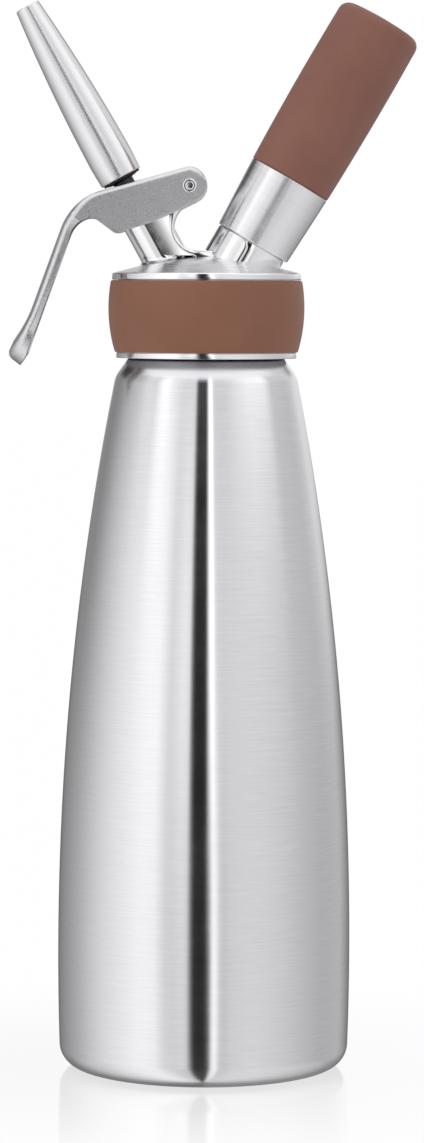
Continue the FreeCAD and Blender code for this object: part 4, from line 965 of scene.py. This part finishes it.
# Studio: the world is a tent of tall pale and dark stretches round the object, in four rows by height. A row holds
# (azimuth, sRGB value) stops. An azimuth is 0 towards the camera and grows towards +X. A band gives the heights of
# the direction, from -1 to 1, between which its row takes over from the level one.

DEEP_TENT = [(-180, 110), (-150, 122), (-135, 158), (-120, 184), (-101, 202), (-80, 222), (-60, 238), (-40, 240),
             (-20, 206), (-12, 200), (-9.5, 120), (-7.5, 60), (3, 60), (6, 235), (9, 245), (12, 200), (26, 212),
             (45, 218), (80, 208), (100, 194), (120, 180), (150, 130)]
LOW_TENT = [(-180, 100), (-170, 90), (-160, 120), (-140, 146), (-127, 162), (-114, 178), (-93, 209), (-78, 225),
            (-64, 236), (-52, 244), (-40, 240), (-31, 208), (-24, 204), (-17, 212), (-13.5, 205), (-11, 120),
            (-9, 40), (-7, 30), (3, 30), (4.4, 70), (6.6, 240), (9.6, 255), (12, 205), (16, 192), (22, 206),
            (36, 210), (50, 207), (64, 199), (79, 188), (96, 178), (106, 172), (118, 174), (136, 176), (156, 130),
            (168, 100)]
LEVEL_TENT = [(-180, 215), (-170, 170), (-160, 130), (-140, 130), (-127, 147), (-116, 168), (-106, 186), (-90, 212),
              (-76, 228), (-64, 240), (-52, 248), (-40, 256), (-35, 240), (-29, 217), (-18, 246), (-13, 236),
              (-10.8, 90), (-9.2, 10), (0.2, 10), (1.8, 60), (3.4, 245), (4.6, 290), (6.8, 290), (9.2, 216), (30, 212),
              (60, 203), (85, 190), (116, 186), (130, 198), (142, 216)]
HIGH_TENT = [(-180, 232), (-174, 195), (-166, 80), (-150, 50), (-134, 66), (-114, 156), (-95, 176), (-80, 218),
             (-67, 210), (-57, 264), (-50, 264), (-42, 234), (-25, 214), (-13, 212), (-10.6, 90), (-9, 4),
             (0.2, 4), (1.6, 60), (3.2, 250), (4.4, 290), (6.6, 290), (9.2, 205), (24, 206), (40, 234), (56, 256),
             (80, 262), (92, 206), (114, 202), (136, 206), (156, 100), (168, 70), (174, 110)]
LOW_BAND = (0.03, -0.06)
HIGH_BAND = (0.18, 0.34)
DEEP_BAND = (-0.3, -0.42)
ROOF_BAND = (0.5, 0.75)
ROOF = 245
# Steel gives back this share of the light, so the tent is brighter by as much
STEEL_SHINE = 0.79
WHITE = (1, 1, 1, 1)


def rise_mask(tree, height, start, end):
    """0 up to a start height of the direction, and 1 from the end height on, smooth between."""
    return out_of(tree, "ShaderNodeMapRange", {"Value": height, "From Min": start, "From Max": end},
                  interpolation_type="SMOOTHSTEP")


def tent_row(tree, share, row):
    """The tent's brightness round the object at one height. A colour ramp holds half the stops."""
    half = len(row) // 2
    ramps = []
    for part in (row[:half + 1], row[half:]):
        ramp = nodes_of(tree, "ShaderNodeValToRGB", {"Fac": share})
        stops = ramp.color_ramp.elements
        for number, (azimuth, value) in enumerate(part):
            stop = stops[number] if number < 2 else stops.new(azimuth / 360 + 0.5)
            stop.position = azimuth / 360 + 0.5
            stop.color = linear((value,) * 3)
        ramps.append(ramp.outputs["Color"])
    side = out_of(tree, "ShaderNodeMath", {0: share, 1: row[half][0] / 360 + 0.5}, operation="GREATER_THAN")
    return mix_of(tree, side, *ramps)


def make_world():
    """The camera sees plain white, and everything else sees the tent."""
    world = bpy.data.worlds.new("studio")
    bpy.context.scene.world = world
    world.use_nodes = True
    tree = world.node_tree
    tree.nodes.clear()
    parts = nodes_of(tree, "ShaderNodeSeparateXYZ", {0: nodes_of(tree, "ShaderNodeTexCoord").outputs["Generated"]})
    x, y, height = parts.outputs
    back = out_of(tree, "ShaderNodeMath", {0: y, 1: -1.0}, operation="MULTIPLY")
    angle = out_of(tree, "ShaderNodeMath", {0: x, 1: back}, operation="ARCTAN2")
    share = out_of(tree, "ShaderNodeMath", {0: angle, 1: 1 / (2 * math.pi), 2: 0.5}, operation="MULTIPLY_ADD")
    tent = tent_row(tree, share, LEVEL_TENT)
    for row, band in ((LOW_TENT, LOW_BAND), (HIGH_TENT, HIGH_BAND), (DEEP_TENT, DEEP_BAND)):
        tent = mix_of(tree, rise_mask(tree, height, *band), tent, tent_row(tree, share, row))
    # Overhead the tent closes with one even pale cloth
    tent = mix_of(tree, rise_mask(tree, height, *ROOF_BAND), tent, linear((ROOF,) * 3))
    seen = nodes_of(tree, "ShaderNodeLightPath").outputs["Is Camera Ray"]
    inside = out_of(tree, "ShaderNodeBackground", {"Strength": 1 / STEEL_SHINE, "Color": tent})
    white = out_of(tree, "ShaderNodeBackground", {"Color": WHITE})
    mix = out_of(tree, "ShaderNodeMixShader", {0: seen, 1: inside, 2: white})
    nodes_of(tree, "ShaderNodeOutputWorld", {"Surface": mix})


def make_floor():
    """A glossy pale floor: white where nothing is mirrored, and the mirror fades with distance from the object."""
    mesh = bpy.data.meshes.new("floor")
    far = 6.0
    mesh.from_pydata([(-far, -far, 0), (far, -far, 0), (far, far, 0), (-far, far, 0)], [], [(0, 1, 2, 3)])
    floor = new_object("floor", mesh)
    finish, tree, _ = new_finish("glossy white floor")
    tree.nodes.clear()
    seen = nodes_of(tree, "ShaderNodeLightPath")
    camera, glossy = seen.outputs["Is Camera Ray"], seen.outputs["Is Glossy Ray"]
    shown = out_of(tree, "ShaderNodeMath", {0: camera, 1: glossy}, operation="MAXIMUM")
    glow = out_of(tree, "ShaderNodeEmission", {"Color": WHITE})
    dull = out_of(tree, "ShaderNodeBsdfDiffuse", {"Color": (0.8, 0.8, 0.8, 1)})
    base = out_of(tree, "ShaderNodeMixShader", {0: shown, 1: dull, 2: glow})
    mirror = out_of(tree, "ShaderNodeBsdfGlossy", {"Color": WHITE, "Roughness": 0.05})
    at = nodes_of(tree, "ShaderNodeTexCoord").outputs["Object"]
    away = nodes_of(tree, "ShaderNodeVectorMath", {0: at}, operation="LENGTH").outputs["Value"]
    near, distant = (0.045, 0.3), (0.16, 0.02)
    fade = out_of(tree, "ShaderNodeMapRange", {"Value": away, "From Min": near[0], "From Max": distant[0],
                                               "To Min": near[1], "To Max": distant[1]})
    share = out_of(tree, "ShaderNodeMath", {0: fade, 1: camera}, operation="MULTIPLY")
    mix = out_of(tree, "ShaderNodeMixShader", {0: share, 1: base, 2: mirror})
    nodes_of(tree, "ShaderNodeOutputMaterial", {"Surface": mix})
    mesh.materials.append(finish)
    floor.visible_glossy = False


def soft_box(name, place, power, aim=(0, 0, 0.2), width=0.9, height=1.4):
    """A rectangular lamp that looks at a point. Neither mirrors nor the camera see it."""
    lamp = bpy.data.lights.new(name, "AREA")
    lamp.shape, lamp.size, lamp.size_y, lamp.energy = "RECTANGLE", width, height, power
    box = new_object(name, lamp)
    box.location = place
    way = np.array(aim, float) - np.array(place, float)
    box.rotation_euler = (math.atan2(math.hypot(way[0], way[1]), -way[2]), 0, math.atan2(-way[0], way[1]))
    box.visible_glossy = False
    box.visible_camera = False


def make_camera():
    """The photograph's view: a level camera at the head's height, a shift that brings the picture down, and
    a slight roll."""
    cam = bpy.data.cameras.new("camera")
    cam.lens, cam.sensor_width, cam.shift_y = 131.15, 36.0, -0.2507
    cam.clip_start, cam.clip_end = 0.05, 50.0
    eye = new_object("camera", cam)
    eye.location = np.array([1.8, -1374.0, 257.0]) * MM
    eye.rotation_euler = (math.radians(90), math.radians(-0.24), 0)
    bpy.context.scene.camera = eye


make_world()
make_floor()
soft_box("left box", (-1.2, -0.9, 0.9), 10.5)
soft_box("right box", (1.3, -0.8, 0.7), 5.4)
make_camera()
bpy.context.scene.view_settings.view_transform = "Standard"
